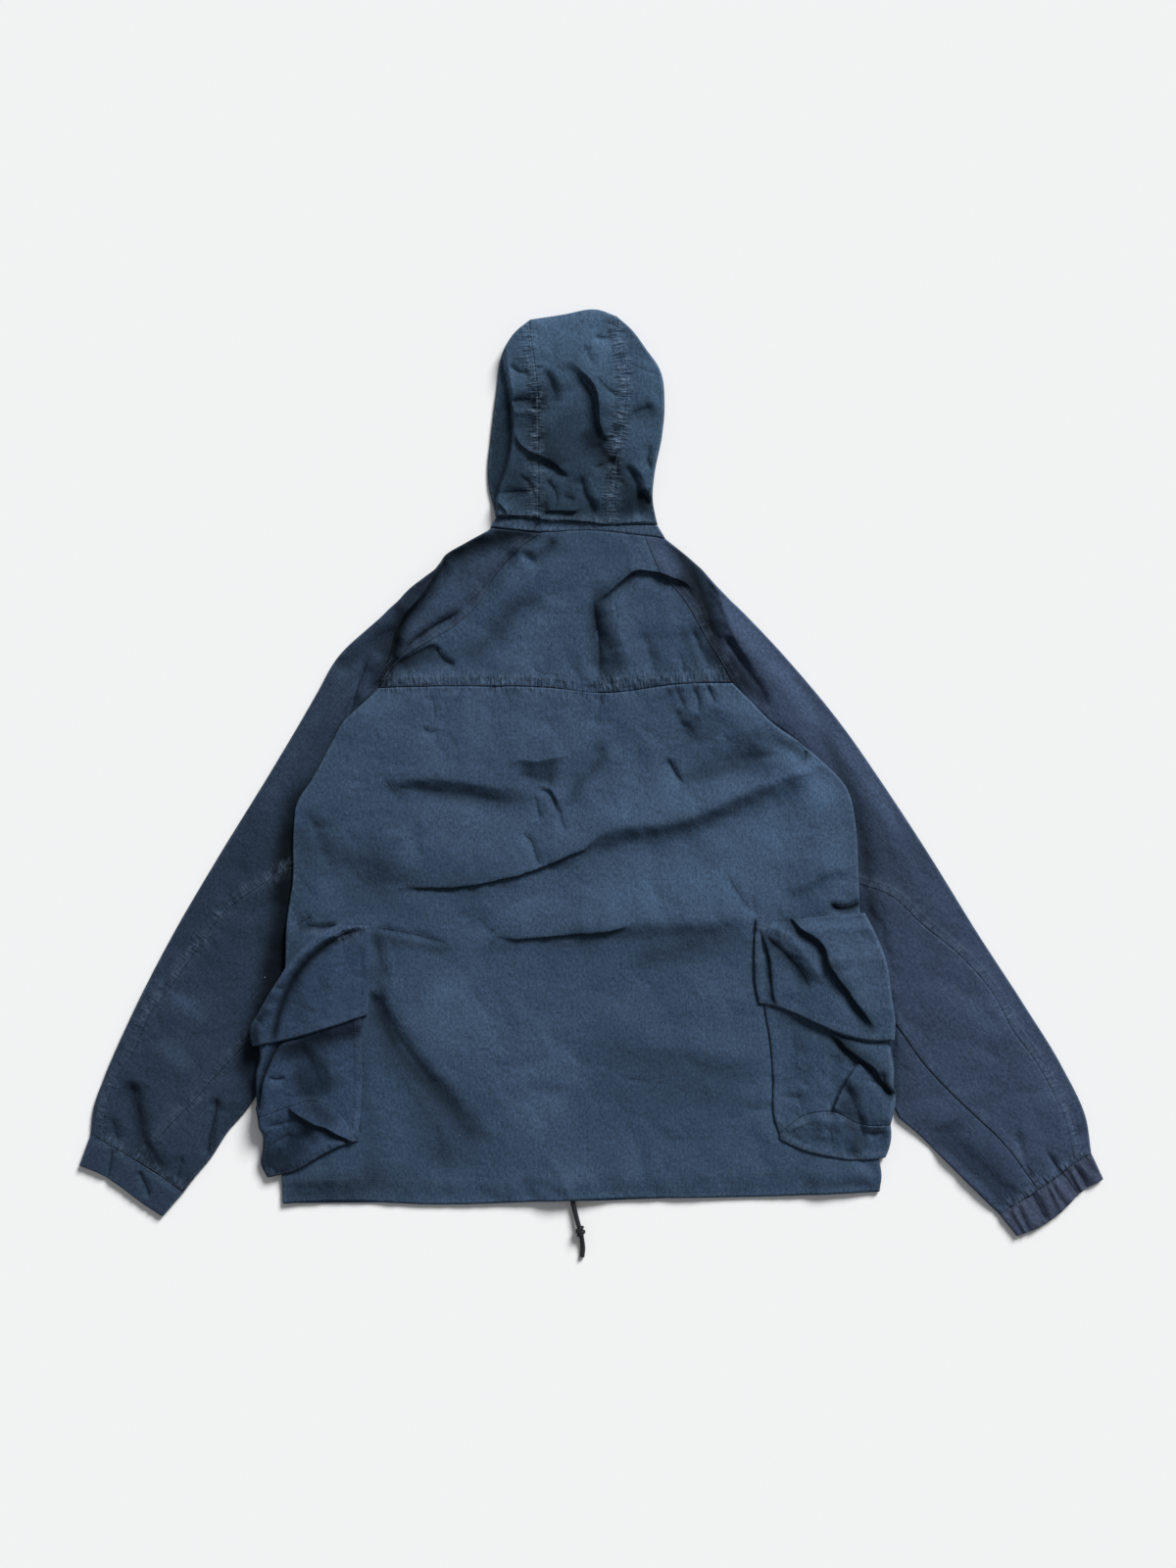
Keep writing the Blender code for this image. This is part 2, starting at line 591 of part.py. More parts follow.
def back_pieces():
    grid = plan_grid(
        span(RAGLAN_LEFT, RAGLAN_CELLS),
        span(RAGLAN_RIGHT, RAGLAN_CELLS),
        span(NECK_BACK, 16),
        span(YOKE_SEAM, 16),
    )
    piece("back_yoke", grid, upper_top)
    left, right = side_rows()
    grid = plan_grid(
        left, right, spaced(YOKE_SEAM, BACK_SHARES), spaced(HEM, BACK_SHARES), shares=BACK_SHARES
    )
    fold = Fold(front_floor, back=turn_widths(len(left)))
    piece("back_body", grid, body_top, left=fold, right=fold, last=0.0)


def front_pieces():
    centre_share = share_at(NECK_BACK, 1)
    neck_left = spaced(NECK_BACK, centre_share * FRONT_SHARES)
    neck_right = spaced(NECK_BACK, 1.0 - (1.0 - centre_share) * FRONT_SHARES)
    for name, raglan, side, neck in (
        ("front_left", RAGLAN_LEFT, side_rows()[0], neck_left),
        ("front_right", RAGLAN_RIGHT, side_rows()[1], neck_right),
    ):
        side = np.vstack([side[:8], side[9::2], side[-1:]])
        outer = joined(span(raglan, RAGLAN_CELLS), side)
        centre = np.column_stack([np.zeros(len(outer)), np.linspace(neck[-1][1], -503.0, len(outer))])
        grid = plan_grid(outer, centre, first=neck, shares=FRONT_SHARES)
        inset = lower_inset(RAGLAN_CELLS, len(side))
        piece(name, grid, front_floor, faces_up=False, left=inset, last=0.0)
    rows = np.linspace(275.0, -498.0, 6)
    left = np.column_stack([np.full(6, -PLACKET_HALF), rows])
    right = np.column_stack([np.full(6, PLACKET_HALF), rows])
    grid = plan_grid(left, right, across=2)
    piece("front_placket", grid, surface, faces_up=False, left=0.0, right=0.0, first=0.0, last=0.0)


class Sleeve:
    """The lines of one sleeve, and the shares of its outer fold that pair with them."""

    def __init__(self, side, raglan, tuck, hidden, inner, outer, elbow, under, cuff_seam, pairs):
        self.side = side
        self.raglan = raglan
        self.tuck = tuck
        self.hidden = hidden
        self.inner = inner
        self.outer = outer
        self.elbow = elbow
        self.under = under
        self.cuff_seam = cuff_seam
        self.at_arm, self.at_elbow, self.at_pocket, self.at_seam = pairs

    def end(self, cells, first, last):
        """Points on the cuff seam between two of the points of its table."""
        return span(
            self.cuff_seam, cells, share_at(self.cuff_seam, first), share_at(self.cuff_seam, last)
        )

    def pieces(self):
        outer = joined(
            span(self.outer, RAGLAN_CELLS, 0.0, self.at_arm),
            span(self.outer, 6, self.at_arm, self.at_elbow),
            span(self.outer, 11, self.at_elbow, 1.0),
        )
        elbow = span(self.elbow, 11)
        tuck = span(self.tuck, 6)
        inner = joined(span(self.raglan, RAGLAN_CELLS), tuck, elbow)
        rows = (RAGLAN_CELLS, RAGLAN_CELLS + 6)
        tucked = Fold(surface, back=turn_widths(7), rows=rows)
        grid = plan_grid(outer, inner, last=self.end(4, 0, 1))
        piece(f"sleeve_{self.side}_upper", grid, upper_top, left=Fold(surface), right=tucked)
        under = span(self.under, 7)
        upper_hidden = span(self.hidden, 3, 0.0, self.at_seam)
        grid = plan_grid(elbow[1:], joined(upper_hidden, under), last=self.end(4, 1, 2))
        fold = Fold(surface, rows=(0, 3))
        piece(f"sleeve_{self.side}_elbow", grid, upper_top, first=0.0, right=fold)
        lower_hidden = span(self.hidden, 2, self.at_seam + 0.08, 1.0)
        inner = span(self.inner, 4)
        grid = plan_grid(under[1:], joined(lower_hidden, inner), last=self.end(4, 2, 3))
        piece(f"sleeve_{self.side}_under", grid, upper_top, first=0.0, right=Fold(surface))
        edge = np.vstack([tuck, upper_hidden, lower_hidden, inner[1:]])
        full = joined(span(self.raglan, RAGLAN_CELLS), edge)
        outer = joined(
            span(self.outer, RAGLAN_CELLS, 0.0, self.at_arm),
            span(self.outer, 6, self.at_arm, self.at_elbow),
            span(self.outer, len(edge) - 7, self.at_elbow, 1.0),
        )
        grid = plan_grid(outer, full, last=self.end(3, 0, 3))
        gap = BEND + TURN + LOWER_GAP
        inset = lower_inset(RAGLAN_CELLS, len(edge))
        name = f"sleeve_{self.side}_front"
        piece(name, grid, surface, faces_up=False, left=gap, right=inset, last=0.6)


def cuff(side, seam, end):
    """A gathered cuff: a flat tube with its own seam along the middle underneath."""
    left = np.array([seam[0], end[0]], float)
    right = np.array([seam[-1], end[-1]], float)
    grid = plan_grid(span(left, 3), span(right, 3), span(seam, 22), span(end, 22))
    lengths = np.linalg.norm(np.diff(grid, axis=1), axis=2).sum(axis=1)
    fold = Fold(surface, back=lengths / 2 - 2.0 * BEND, strips=3)
    piece(f"cuff_{side}", grid, cuff_top, left=fold, right=fold, last=0.0)


HOOD_TOP_SHARE = 0.95  # where the side panels of the hood turn over the crown


def hood_pieces():
    seam_shares = np.append(np.linspace(0.0, HOOD_TOP_SHARE, 13), 1.0)
    seam_left = spaced(HOOD_SEAM_LEFT, seam_shares)
    seam_right = spaced(HOOD_SEAM_RIGHT, seam_shares)
    joint = span(HOOD_JOINT, 20)
    middle = [HOOD_SEAM_LEFT[0], HOOD_JOINT[2], HOOD_SEAM_RIGHT[0]]
    grid = plan_grid(span(middle, 6), span(CROWN, 6), seam_left, seam_right)
    piece("hood_centre", grid, hood_top, right=Fold(surface, bend=3.0, back=18.0, strips=2))
    for side, seam, edge in (
        ("left", HOOD_SEAM_LEFT, HOOD_EDGE_LEFT),
        ("right", HOOD_SEAM_RIGHT, HOOD_EDGE_RIGHT),
    ):
        inner, outer = span(seam, 12, 0.0, HOOD_TOP_SHARE), span(edge, 12)
        width = np.hypot(*(outer - inner).T)
        fold = Fold(surface, bend=3.0, back=np.minimum(0.75 * width, 38.0), strips=2)
        piece(f"hood_{side}", plan_grid(inner, outer, across=6), hood_top, right=fold, last=0.35)
    neck = joined(span(NECK_LEFT, 6), span(NECK_BACK, 11), span(NECK_RIGHT, 3))
    grid = plan_grid(span([neck[0], joint[0]], 2), span([neck[-1], joint[-1]], 2), neck, joint)
    fold = Fold(surface, back=62.0, strips=4)
    piece("neck_band", grid, rest, left=fold, right=fold)


def pocket_pieces():
    flap_foot = span(FLAP_LEFT_FOOT, 9)
    fold = Fold(sleeve_floor, bend=5.0, back=38.0, strips=3)
    grid = plan_grid(span(BAG_LEFT_EDGE, 11), span(BAG_LEFT_SEAM, 11), last=span(BAG_LEFT_RIDGE, 9))
    piece("pocket_left_bag", grid, bag_left_top, left=fold)
    seam = [BAG_LEFT_RIDGE[-1], GUSSET_LEFT_FOOT[-1]]
    grid = plan_grid(
        span(GUSSET_LEFT_EDGE, 4), span(seam, 4), span(BAG_LEFT_RIDGE, 9), span(GUSSET_LEFT_FOOT, 9)
    )
    piece("pocket_left_gusset", grid, bag_left_top, left=fold)
    grid = plan_grid(span(FLAP_LEFT_EDGE, 8), span(FLAP_LEFT_SIDE, 8), last=flap_foot)
    fold_over = Fold(sleeve_floor, bend=4.0, back=1.0)
    piece("pocket_left_flap", grid, flap_left_top, left=fold_over, right=0.0, last=0.0)
    grid = plan_grid(span(BAG_RIGHT_SEAM, 11), span(BAG_RIGHT_EDGE, 11), last=span(BAG_RIGHT_RIDGE, 9))
    piece("pocket_right_bag", grid, bag_right_top, right=fold)
    seam = [BAG_RIGHT_RIDGE[0], GUSSET_RIGHT_FOOT[0]]
    grid = plan_grid(
        span(seam, 4), span(GUSSET_RIGHT_EDGE, 4), span(BAG_RIGHT_RIDGE, 9), span(GUSSET_RIGHT_FOOT, 9)
    )
    piece("pocket_right_gusset", grid, bag_right_top, right=fold, first=0.3)
    grid = plan_grid(span(FLAP_RIGHT_SIDE, 8), span(FLAP_RIGHT_EDGE, 8), last=span(FLAP_RIGHT_FOOT, 9))
    piece("pocket_right_flap", grid, flap_right_top, left=0.0, right=fold_over, last=0.0)


CORD_RADIUS = 2.4
CORD_ROUTE = [
    (*(-24, -480), 5.7),
    (*(-22, -503), 5.6),
    (*(-19, -516), 4.6),
    (*(-16, -528), 5.6),
    (*(-13, -538), 6.6),
    (*(-11, -549), 4.2),
    (*(-10, -559), 2.5),
    (*(-11, -569), 2.5),
]
KNOT_PLACE = (-13, -538)
KNOT_WALL = 3.2
KNOT_HALF = 4.5


def drawcord():
    """The hem cord, and a ring of its own turns round it as the knot."""
    route = smooth_line(CORD_ROUTE, 3)
    line = bpy.data.curves.new("hem_drawcord", "CURVE")
    line.dimensions = "3D"
    line.bevel_depth = CORD_RADIUS * TO_METRES
    line.bevel_resolution = 2
    line.use_fill_caps = True
    spline = line.splines.new("POLY")
    spline.points.add(len(route) - 1)
    for point, place in zip(spline.points, route):
        point.co = (*(place * TO_METRES), 1.0)
    cord = bpy.data.objects.new("hem_drawcord", line)
    bpy.context.scene.collection.objects.link(cord)
    knot(route)


def knot(route):
    """Two turns of the cord round itself, as one ring that clears the cord inside."""
    place = np.argmin(np.hypot(*(route[:, :2] - KNOT_PLACE).T))
    axis = unit(route[place + 1] - route[place - 1])
    side = unit(np.cross(axis, (0.0, 0.0, 1.0)))
    up = np.cross(side, axis)
    around = np.linspace(0.0, 2.0 * np.pi, 15)[:, None]
    profile = np.linspace(0.0, 2.0 * np.pi, 11)[None]
    thick = KNOT_WALL / 2 * (1.0 + 0.12 * np.cos(2.0 * profile))
    radius = CORD_RADIUS + 0.45 + KNOT_WALL / 2 + np.cos(profile) * thick
    along = KNOT_HALF * np.sin(profile) * np.ones_like(around)
    points = route[place] + along[..., None] * axis
    points = points + (radius * np.cos(around))[..., None] * side
    points = points + (radius * np.sin(around))[..., None] * up
    mesh = bmesh.new()
    add_grid(mesh, points[..., :2], points[..., 2])
    bmesh.ops.remove_doubles(mesh, verts=mesh.verts[:], dist=1e-5)
    bmesh.ops.recalc_face_normals(mesh, faces=mesh.faces[:])
    data = bpy.data.meshes.new("drawcord_knot")
    mesh.to_mesh(data)
    mesh.free()
    bpy.context.scene.collection.objects.link(bpy.data.objects.new("drawcord_knot", data))


LEFT_SLEEVE = Sleeve(
    "left", RAGLAN_LEFT, TUCK_LEFT, HIDDEN_LEFT, INNER_LEFT, OUTER_LEFT,
    ELBOW_SEAM_LEFT, UNDER_SEAM_LEFT, CUFF_SEAM_LEFT, (0.275, 0.589, 0.887, 0.62),
)
RIGHT_SLEEVE = Sleeve(
    "right", RAGLAN_RIGHT, TUCK_RIGHT, HIDDEN_RIGHT, INNER_RIGHT, OUTER_RIGHT,
    ELBOW_SEAM_RIGHT, UNDER_SEAM_RIGHT, CUFF_SEAM_RIGHT, (0.235, 0.548, 0.85, 0.5),
)


def build():
    clear_scene()
    back_pieces()
    front_pieces()
    LEFT_SLEEVE.pieces()
    RIGHT_SLEEVE.pieces()
    cuff("left", CUFF_SEAM_LEFT, CUFF_END_LEFT)
    cuff("right", CUFF_SEAM_RIGHT, CUFF_END_RIGHT)
    hood_pieces()
    pocket_pieces()
    drawcord()


build()
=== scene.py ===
"""The looks of the parka laid flat, back side up: cloth, folds, seams, stitches and cord.

The outlines and the lie of the layers repeat the part's own, in millimetres. A piece of
cloth here is the same cut as its solid, on a much closer grid, with every crease.
"""

import math

import bmesh
import bpy
import numpy as np
from mathutils import Matrix, Vector
from mathutils.bvhtree import BVHTree


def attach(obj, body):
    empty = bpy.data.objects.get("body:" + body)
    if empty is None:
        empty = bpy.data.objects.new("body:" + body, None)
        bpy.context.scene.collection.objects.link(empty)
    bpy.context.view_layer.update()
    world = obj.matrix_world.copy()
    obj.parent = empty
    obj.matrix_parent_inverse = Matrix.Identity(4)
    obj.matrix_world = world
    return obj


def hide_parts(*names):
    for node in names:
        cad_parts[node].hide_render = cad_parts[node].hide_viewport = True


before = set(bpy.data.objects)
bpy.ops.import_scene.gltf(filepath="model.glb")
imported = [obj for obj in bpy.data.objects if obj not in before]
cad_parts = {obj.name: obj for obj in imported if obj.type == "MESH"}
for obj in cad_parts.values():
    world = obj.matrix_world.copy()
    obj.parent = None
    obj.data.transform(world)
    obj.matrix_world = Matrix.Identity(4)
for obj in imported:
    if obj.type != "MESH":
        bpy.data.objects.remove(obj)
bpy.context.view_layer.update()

TO_METRES = 0.001
WALL = 1.2  # thickness of the cloth with its seam allowances
SEAM = 0.03  # gap between two pieces that are sewn together
REST = 5.0  # top of two layers that lie on each other
TURN = 5.0  # how far a folded piece runs back underneath
BEND = 2.5  # how far a fold reaches out in plan past its last flat point
TURNS = 6  # steps round a fold
TUCKED = 6.0  # lift of whatever lies on the tucked edge of a sleeve
SIDE_LIFT = 6.6  # the same at the top of the back panel
POCKET_LIFT = 2.5  # lift of the front panel over the pocket that runs under it
ON_TOP = 1.8  # a piece sewn on: its own wall and a seam gap
PLACKET_HALF = 18.0
PLACKET_LIFT = 1.7
LOWER_GAP = 1.0  # gap between a turned edge and the lower piece that it is sewn to
SEAM_DIP = 0.22  # how far the cloth rolls down into a seam
DIP_REACH = 1.8
CRISP = 1.35  # 2 would be a soft round fold, 1 a pressed one
WOBBLE = 1.3  # how far a crease strays from its line
PAINTED_FOLD_REACH = 13.0  # how far from a sharp fold its painted shadow is told to the finish
LIGHT_WAY = np.array([0.53, 0.85])  # in plan, towards the light


def smoothstep(value):
    value = np.clip(value, 0.0, 1.0)
    return value * value * (3.0 - 2.0 * value)


def through(text):
    """The points of a line, from the text of its x,y pairs."""
    return [tuple(float(number) for number in pair.split(",")) for pair in text.split()]


def table_of(text):
    """The rows of a table, from text: each is a name: its numbers: its points;"""
    table = []
    for row in text.split(";")[:-1]:
        name, numbers, points = row.split(":")
        table.append((name.strip(), *(float(number) for number in numbers.split()), through(points)))
    return table


def run_along(line):
    """How far along a line each of its points lies."""
    return np.concatenate([[0.0], np.cumsum(np.hypot(*np.diff(line, axis=0).T))])


def smooth_line(points, steps=10):
    """A smooth line through the points of a short table, as many close points."""
    points = np.array(points, float)
    chords = np.hypot(*np.diff(points, axis=0).T)
    slopes = np.gradient(points, run_along(points), axis=0)
    line = [points[:1]]
    for start in range(len(points) - 1):
        share = np.linspace(0.0, 1.0, steps + 1)[1:, None]
        gap = chords[start]
        line.append(
            (2 * share**3 - 3 * share**2 + 1) * points[start]
            + (share**3 - 2 * share**2 + share) * gap * slopes[start]
            + (3 * share**2 - 2 * share**3) * points[start + 1]
            + (share**3 - share**2) * gap * slopes[start + 1]
        )
    return np.vstack(line)


def spaced(points, shares):
    """Points at these shares of the length of the smooth line through a table."""
    line = smooth_line(points)
    run = run_along(line)
    wanted = np.array(shares) * run[-1]
    return np.column_stack([np.interp(wanted, run, line[:, axis]) for axis in (0, 1)])


def span(points, cells, first=0.0, last=1.0):
    """Evenly spaced points along the smooth line through a table, one more than cells."""
    return spaced(points, np.linspace(first, last, cells + 1))


def share_at(points, index):
    """The share of the smooth line's length where it passes a point of its table."""
    steps = 10
    line = smooth_line(points, steps)
    run = run_along(line)
    return run[index * steps] / run[-1]


def joined(*runs):
    """Runs that follow each other, each starting where the last one ended."""
    return np.vstack([runs[0]] + [run[1:] for run in runs[1:]])


class Beside:
    """Where points lie along a line: signed distance, plus to its left, share, way across."""

    def __init__(self, x, y, points, reach=None):
        line = smooth_line(points, 4)
        lengths = np.hypot(*np.diff(line, axis=0).T)
        run = run_along(line)
        self.length = run[-1]
        flat_x, flat_y = np.ravel(x), np.ravel(y)
        near = np.ones(len(flat_x), bool)
        if reach is not None:
            low, high = line.min(axis=0) - reach, line.max(axis=0) + reach
            near = (flat_x > low[0]) & (flat_x < high[0]) & (flat_y > low[1]) & (flat_y < high[1])
        px, py = flat_x[near], flat_y[near]
        nearest = np.full(len(px), 1e9)
        signed, share = np.full(len(px), 1e9), np.zeros(len(px))
        left = np.zeros((len(px), 2))
        for index, length in enumerate(lengths):
            (ax, ay), (bx, by) = line[index], line[index + 1]
            ux, uy = (bx - ax) / length, (by - ay) / length
            along = np.clip((px - ax) * ux + (py - ay) * uy, 0.0, length)
            away = np.hypot(px - ax - along * ux, py - ay - along * uy)
            closer = away < nearest
            nearest = np.where(closer, away, nearest)
            side = np.sign(ux * (py - ay) - uy * (px - ax))
            signed = np.where(closer, away * side, signed)
            share = np.where(closer, (run[index] + along) / run[-1], share)
            left[closer] = (-uy, ux)
        self.near = near
        self.away, self.share, self.left = signed, share, left


def beside(x, y, points):
    found = Beside(x, y, points)
    return found.away.reshape(np.shape(x)), found.share.reshape(np.shape(x))


SCATTER = (127.1, 311.7, 74.7, 43758.5453)  # any large numbers that don't divide each other


def lattice(column, row, seed):
    """A steady direction for each knot of the noise's lattice."""
    by_column, by_row, by_seed, spread = SCATTER
    turn = np.sin(column * by_column + row * by_row + seed * by_seed) * spread
    return 2.0 * np.pi * (turn - np.floor(turn))


def noise(x, y, size, seed):
    """Smooth unevenness between about -1 and 1, with lumps as large as size."""
    angle = 0.7 + 1.3 * seed
    u = (x * np.cos(angle) + y * np.sin(angle)) / size
    v = (y * np.cos(angle) - x * np.sin(angle)) / size
    column, row = np.floor(u), np.floor(v)
    fu, fv = u - column, v - row
    total = np.zeros(np.shape(x))
    for right in (0, 1):
        for up in (0, 1):
            way = lattice(column + right, row + up, seed)
            slope = np.cos(way) * (fu - right) + np.sin(way) * (fv - up)
            along = smoothstep(fu) if right else 1.0 - smoothstep(fu)
            across = smoothstep(fv) if up else 1.0 - smoothstep(fv)
            total = total + slope * along * across
    return 1.6 * total


class Relief:
    """What creases add to a surface: height, how far they carry it sideways, and the painted shadow beside
    sharp folds.
    """

    def __init__(self, x, y):
        self.x, self.y = np.ravel(x), np.ravel(y)
        self.shape = np.shape(x)
        self.z = np.zeros(len(self.x))
        self.wear = np.zeros(len(self.x))
        self.plan = np.zeros((len(self.x), 2))
        self.gathers = np.zeros((len(self.x), 3))
        self.painted_fold_light = np.zeros((len(self.x), 3))

    def crease(self, rise, left, right, lean, fade, points, weight=1.0):
        narrow, wide = min(left, right), max(left, right)
        found = Beside(self.x, self.y, points, max(2.6 * wide, PAINTED_FOLD_REACH))
        px, py = self.x[found.near], self.y[found.near]
        stray = WOBBLE * min(1.0, 0.12 * narrow)
        away = found.away + stray * noise(px, py, 11.0, 5.0 + 0.1 * rise)
        ends = smoothstep(found.share / fade) * smoothstep((1.0 - found.share) / fade)
        width = np.where(away > 0, left, right) * (0.6 + 0.4 * ends)
        uneven = 1.0 + min(0.4, 4.0 / wide) * noise(px, py, 21.0, 2.0 + 0.1 * rise)
        bump = np.exp(-(np.abs(away / width) ** CRISP)) * ends * uneven
        part = weight if np.ndim(weight) == 0 else weight[found.near]
        self.z[found.near] += rise * bump * part
        if lean:
            self.plan[found.near] += (lean * bump * part)[:, None] * found.left
        # A sharp fold whose steep side turns from the light gets a painted shadow beside it and a painted
        # highlight on its lit lip.
        sharp = min(1.0, (7.0 - narrow) / 3.5) * min(1.0, abs(rise) / 6.0)
        if sharp > 0.15:
            dark_side = 1.0 if (left < right) == (rise > 0) else -1.0
            if left == right:
                dark_side = -np.sign(found.left @ LIGHT_WAY)
            past = away * dark_side + (0.4 * narrow if rise < 0 else 0.0)
            reach = abs(lean) + 0.5 * abs(rise) + 1.0 if rise > 0 else 0.4 * wide + 0.5 * narrow
            turned_off = smoothstep(0.35 - dark_side * (found.left @ LIGHT_WAY))
            self.paint_fold_light(found, past, reach, sharp * turned_off * ends * part)

    def paint_fold_light(self, found, past, reach, depth):
        """The painted shadow of a sharp fold: the distance past its edge, how far it stays dark there, and
        how dark.
        """
        depth = depth * smoothstep((PAINTED_FOLD_REACH - np.abs(past)) / 6.0)
        known = self.painted_fold_light[found.near]
        deeper = depth * np.exp(-np.abs(past) / 6.0) > known[:, 2] * np.exp(-np.abs(known[:, 0]) / 0.006)
        told = np.column_stack([past * TO_METRES, np.full(len(past), reach * TO_METRES), depth])
        self.painted_fold_light[found.near] = np.where(deeper[:, None], told, known)

    def creases(self, table, weight=1.0):
        """Every crease of a table whose rows start with a name."""
        for _, rise, left, right, lean, fade, points in table:
            self.crease(rise, left, right, lean, fade, points, weight)

    def seams(self, table):
        """Lapped seams: the layers inside lift one side, and the stitching gathers both."""
        for _, side, band, lift, pucker, pitch, _, points in table:
            found = Beside(self.x, self.y, points, 3.0 * band + 6.0)
            away = found.away * side
            run = found.share * found.length
            px, py = self.x[found.near], self.y[found.near]
            inside = smoothstep((away + 0.6) / 1.2) * smoothstep((band + 3.0 - away) / 4.0)
            strength = 0.4 + 1.3 * np.abs(noise(px, py, 5.0 * pitch, 8.0))
            reach = np.exp(-(((away - 0.45 * band) / (1.05 * band)) ** 2))
            ripples = 1.5 * noise(run, 0.36 * away, 1.25 * pitch, 3.0 + pitch)
            ripples += 0.9 * noise(run + 0.5 * away, 0.5 * away, 0.7 * pitch, 5.0 + band)
            ends = smoothstep(found.share / 0.03) * smoothstep((1.0 - found.share) / 0.03)
            gathers = ripples * strength * reach
            self.z[found.near] += ends * (lift * inside + 0.8 * pucker * gathers)
            crest = smoothstep(0.4 + 1.1 * gathers)
            self.wear[found.near] += ends * reach * crest * (0.1 + 0.45 * min(0.6, pucker))
            drawn = pucker * ends * reach * (0.35 + 0.65 * strength)
            told = np.column_stack([run + 40.0 * band, away, 1000.0 * drawn]) * TO_METRES
            stronger = (drawn > self.gathers[found.near, 2])[:, None]
            self.gathers[found.near] = np.where(stronger, told, self.gathers[found.near])

    def result(self):
        return self.z.reshape(self.shape), self.plan.reshape(*self.shape, 2)

# Outlines and seams: the points of a line, from the neck towards the hem or the cuff.
NECK_LEFT = through("-119,289 -60,283")
NECK_BACK = through("-60,283 0,285 63,279")
NECK_RIGHT = through("63,279 87,276")
RAGLAN_LEFT = through("-60,283 -85,263 -113,232 -137,194 -163,171 -185,158 -229,128 -250,100")
RAGLAN_RIGHT = through("63,279 70,261 88,229 111,200 124,177 137,154 152,130 166,106")
YOKE_SEAM = through("-250,100 -142,102 -50,100 7,94 111,105 166,106")
SIDE_LEFT = through(
    "-250,100 -274,77 -292,59 -305,36 -328,-7 -346,-36 -350,-70 -351,-128 -357,-168 -359,-214 -361,-312 "
    "-363,-404 -364,-473 -363,-506"
)
SIDE_RIGHT = through(
    "166,106 186,86 209,62 243,37 272,13 301,-20 310,-59 313,-105 315,-156 319,-243 325,-346 332,-415 "
    "338,-452 341,-473 339,-492"
)
HEM = through("-363,-506 -303,-503 -188,-507 -4,-501 226,-497 339,-492")
OUTER_LEFT = through(
    "-119,289 -165,262 -205,229 -257,177 -301,133 -320,99 -372,10 -441,-102 -499,-202 -545,-294 -573,-358 "
    "-585,-392 -589,-425"
)
OUTER_RIGHT = through(
    "87,276 122,248 163,206 226,139 295,56 341,-10 398,-97 456,-191 508,-271 554,-346 582,-407 588,-447"
)
TUCK_LEFT = through("-251,99 -260,84 -271,67 -280,45 -289,20 -302,-13 -316,-64 -328,-109")
TUCK_RIGHT = through("167,105 177,90 189,69 208,45 231,20 255,-7 275,-41 283,-82 289,-124")
HIDDEN_LEFT = through("-326,-116 -332,-162 -346,-225 -359,-289 -370,-329 -393,-378")
HIDDEN_RIGHT = through("289,-131 297,-162 309,-208 320,-254 333,-312 344,-363 361,-405")
INNER_LEFT = through("-393,-378 -407,-398 -427,-421 -447,-452 -467,-476 -479,-492")
INNER_RIGHT = through("361,-405 387,-427 410,-450 433,-473 456,-496 480,-519")
ELBOW_SEAM_LEFT = through(
    "-328,-109 -355,-114 -390,-133 -438,-171 -461,-204 -490,-245 -517,-281 -540,-330 -561,-362 -572,-398 "
    "-576,-432"
)
ELBOW_SEAM_RIGHT = through(
    "289,-124 318,-131 350,-143 388,-177 434,-215 472,-259 495,-302 522,-339 542,-375 557,-409 569,-459"
)
UNDER_SEAM_LEFT = through("-357,-279 -393,-306 -438,-353 -461,-379 -487,-406 -510,-431 -526,-462")
UNDER_SEAM_RIGHT = through("338,-270 362,-302 388,-339 423,-377 455,-407 481,-432 525,-490")
CUFF_SEAM_LEFT = through("-589,-425 -576,-432 -526,-462 -479,-492")
CUFF_SEAM_RIGHT = through("588,-447 569,-459 525,-490 480,-519")
CUFF_END_LEFT = through("-602,-461 -579,-470 -556,-484 -531,-503 -504,-521")
CUFF_END_RIGHT = through("602,-477 577,-491 554,-514 525,-534 500,-544")
HOOD_SEAM_LEFT = through("-62,299 -62,390 -63,447 -67,482 -72,521 -72,532")
HOOD_SEAM_RIGHT = through("28,292 27,321 30,355 39,419 42,447 39,482 32,511 30,536")
HOOD_EDGE_LEFT = through("-112,301 -121,338 -122,355 -119,390 -112,447 -105,493 -91,516 -72,532")
HOOD_EDGE_RIGHT = through("78,292 72,323 74,350 83,396 86,430 80,475 65,497 48,520 30,536")
CROWN = through("-72,532 -33,538 7,544 30,536")
HOOD_JOINT = through("-112,301 -62,299 -27,297 28,292 78,291")

# The pockets, as they show on the back.
BAG_LEFT_EDGE = through("-365,-252 -375,-275 -386,-298 -389,-319 -389,-335 -393,-352 -393,-371 -386,-404")
BAG_LEFT_SEAM = through("-271,-199 -270,-289 -269,-358 -273,-429")
BAG_LEFT_RIDGE = through("-386,-404 -361,-394 -331,-383 -303,-392 -273,-429")
GUSSET_LEFT_EDGE = through("-386,-404 -386,-438 -388,-461 -381,-475")
GUSSET_LEFT_FOOT = through("-381,-475 -349,-467 -320,-450 -292,-436 -273,-432")
FLAP_LEFT_EDGE = through("-298,-177 -324,-192 -348,-216 -369,-247 -387,-278 -398,-300 -395,-319")
FLAP_LEFT_SIDE = through("-259,-179 -259,-214 -260,-248 -262,-283")
BAG_RIGHT_EDGE = through("332,-225 341,-252 347,-289 349,-314 355,-340 357,-381 351,-412")
BAG_RIGHT_SEAM = through("203,-199 203,-277 209,-312 213,-358 214,-404 220,-423")
BAG_RIGHT_RIDGE = through("220,-423 249,-401 281,-396 318,-412 351,-412")
GUSSET_RIGHT_EDGE = through("351,-412 352,-427 350,-440 346,-451")
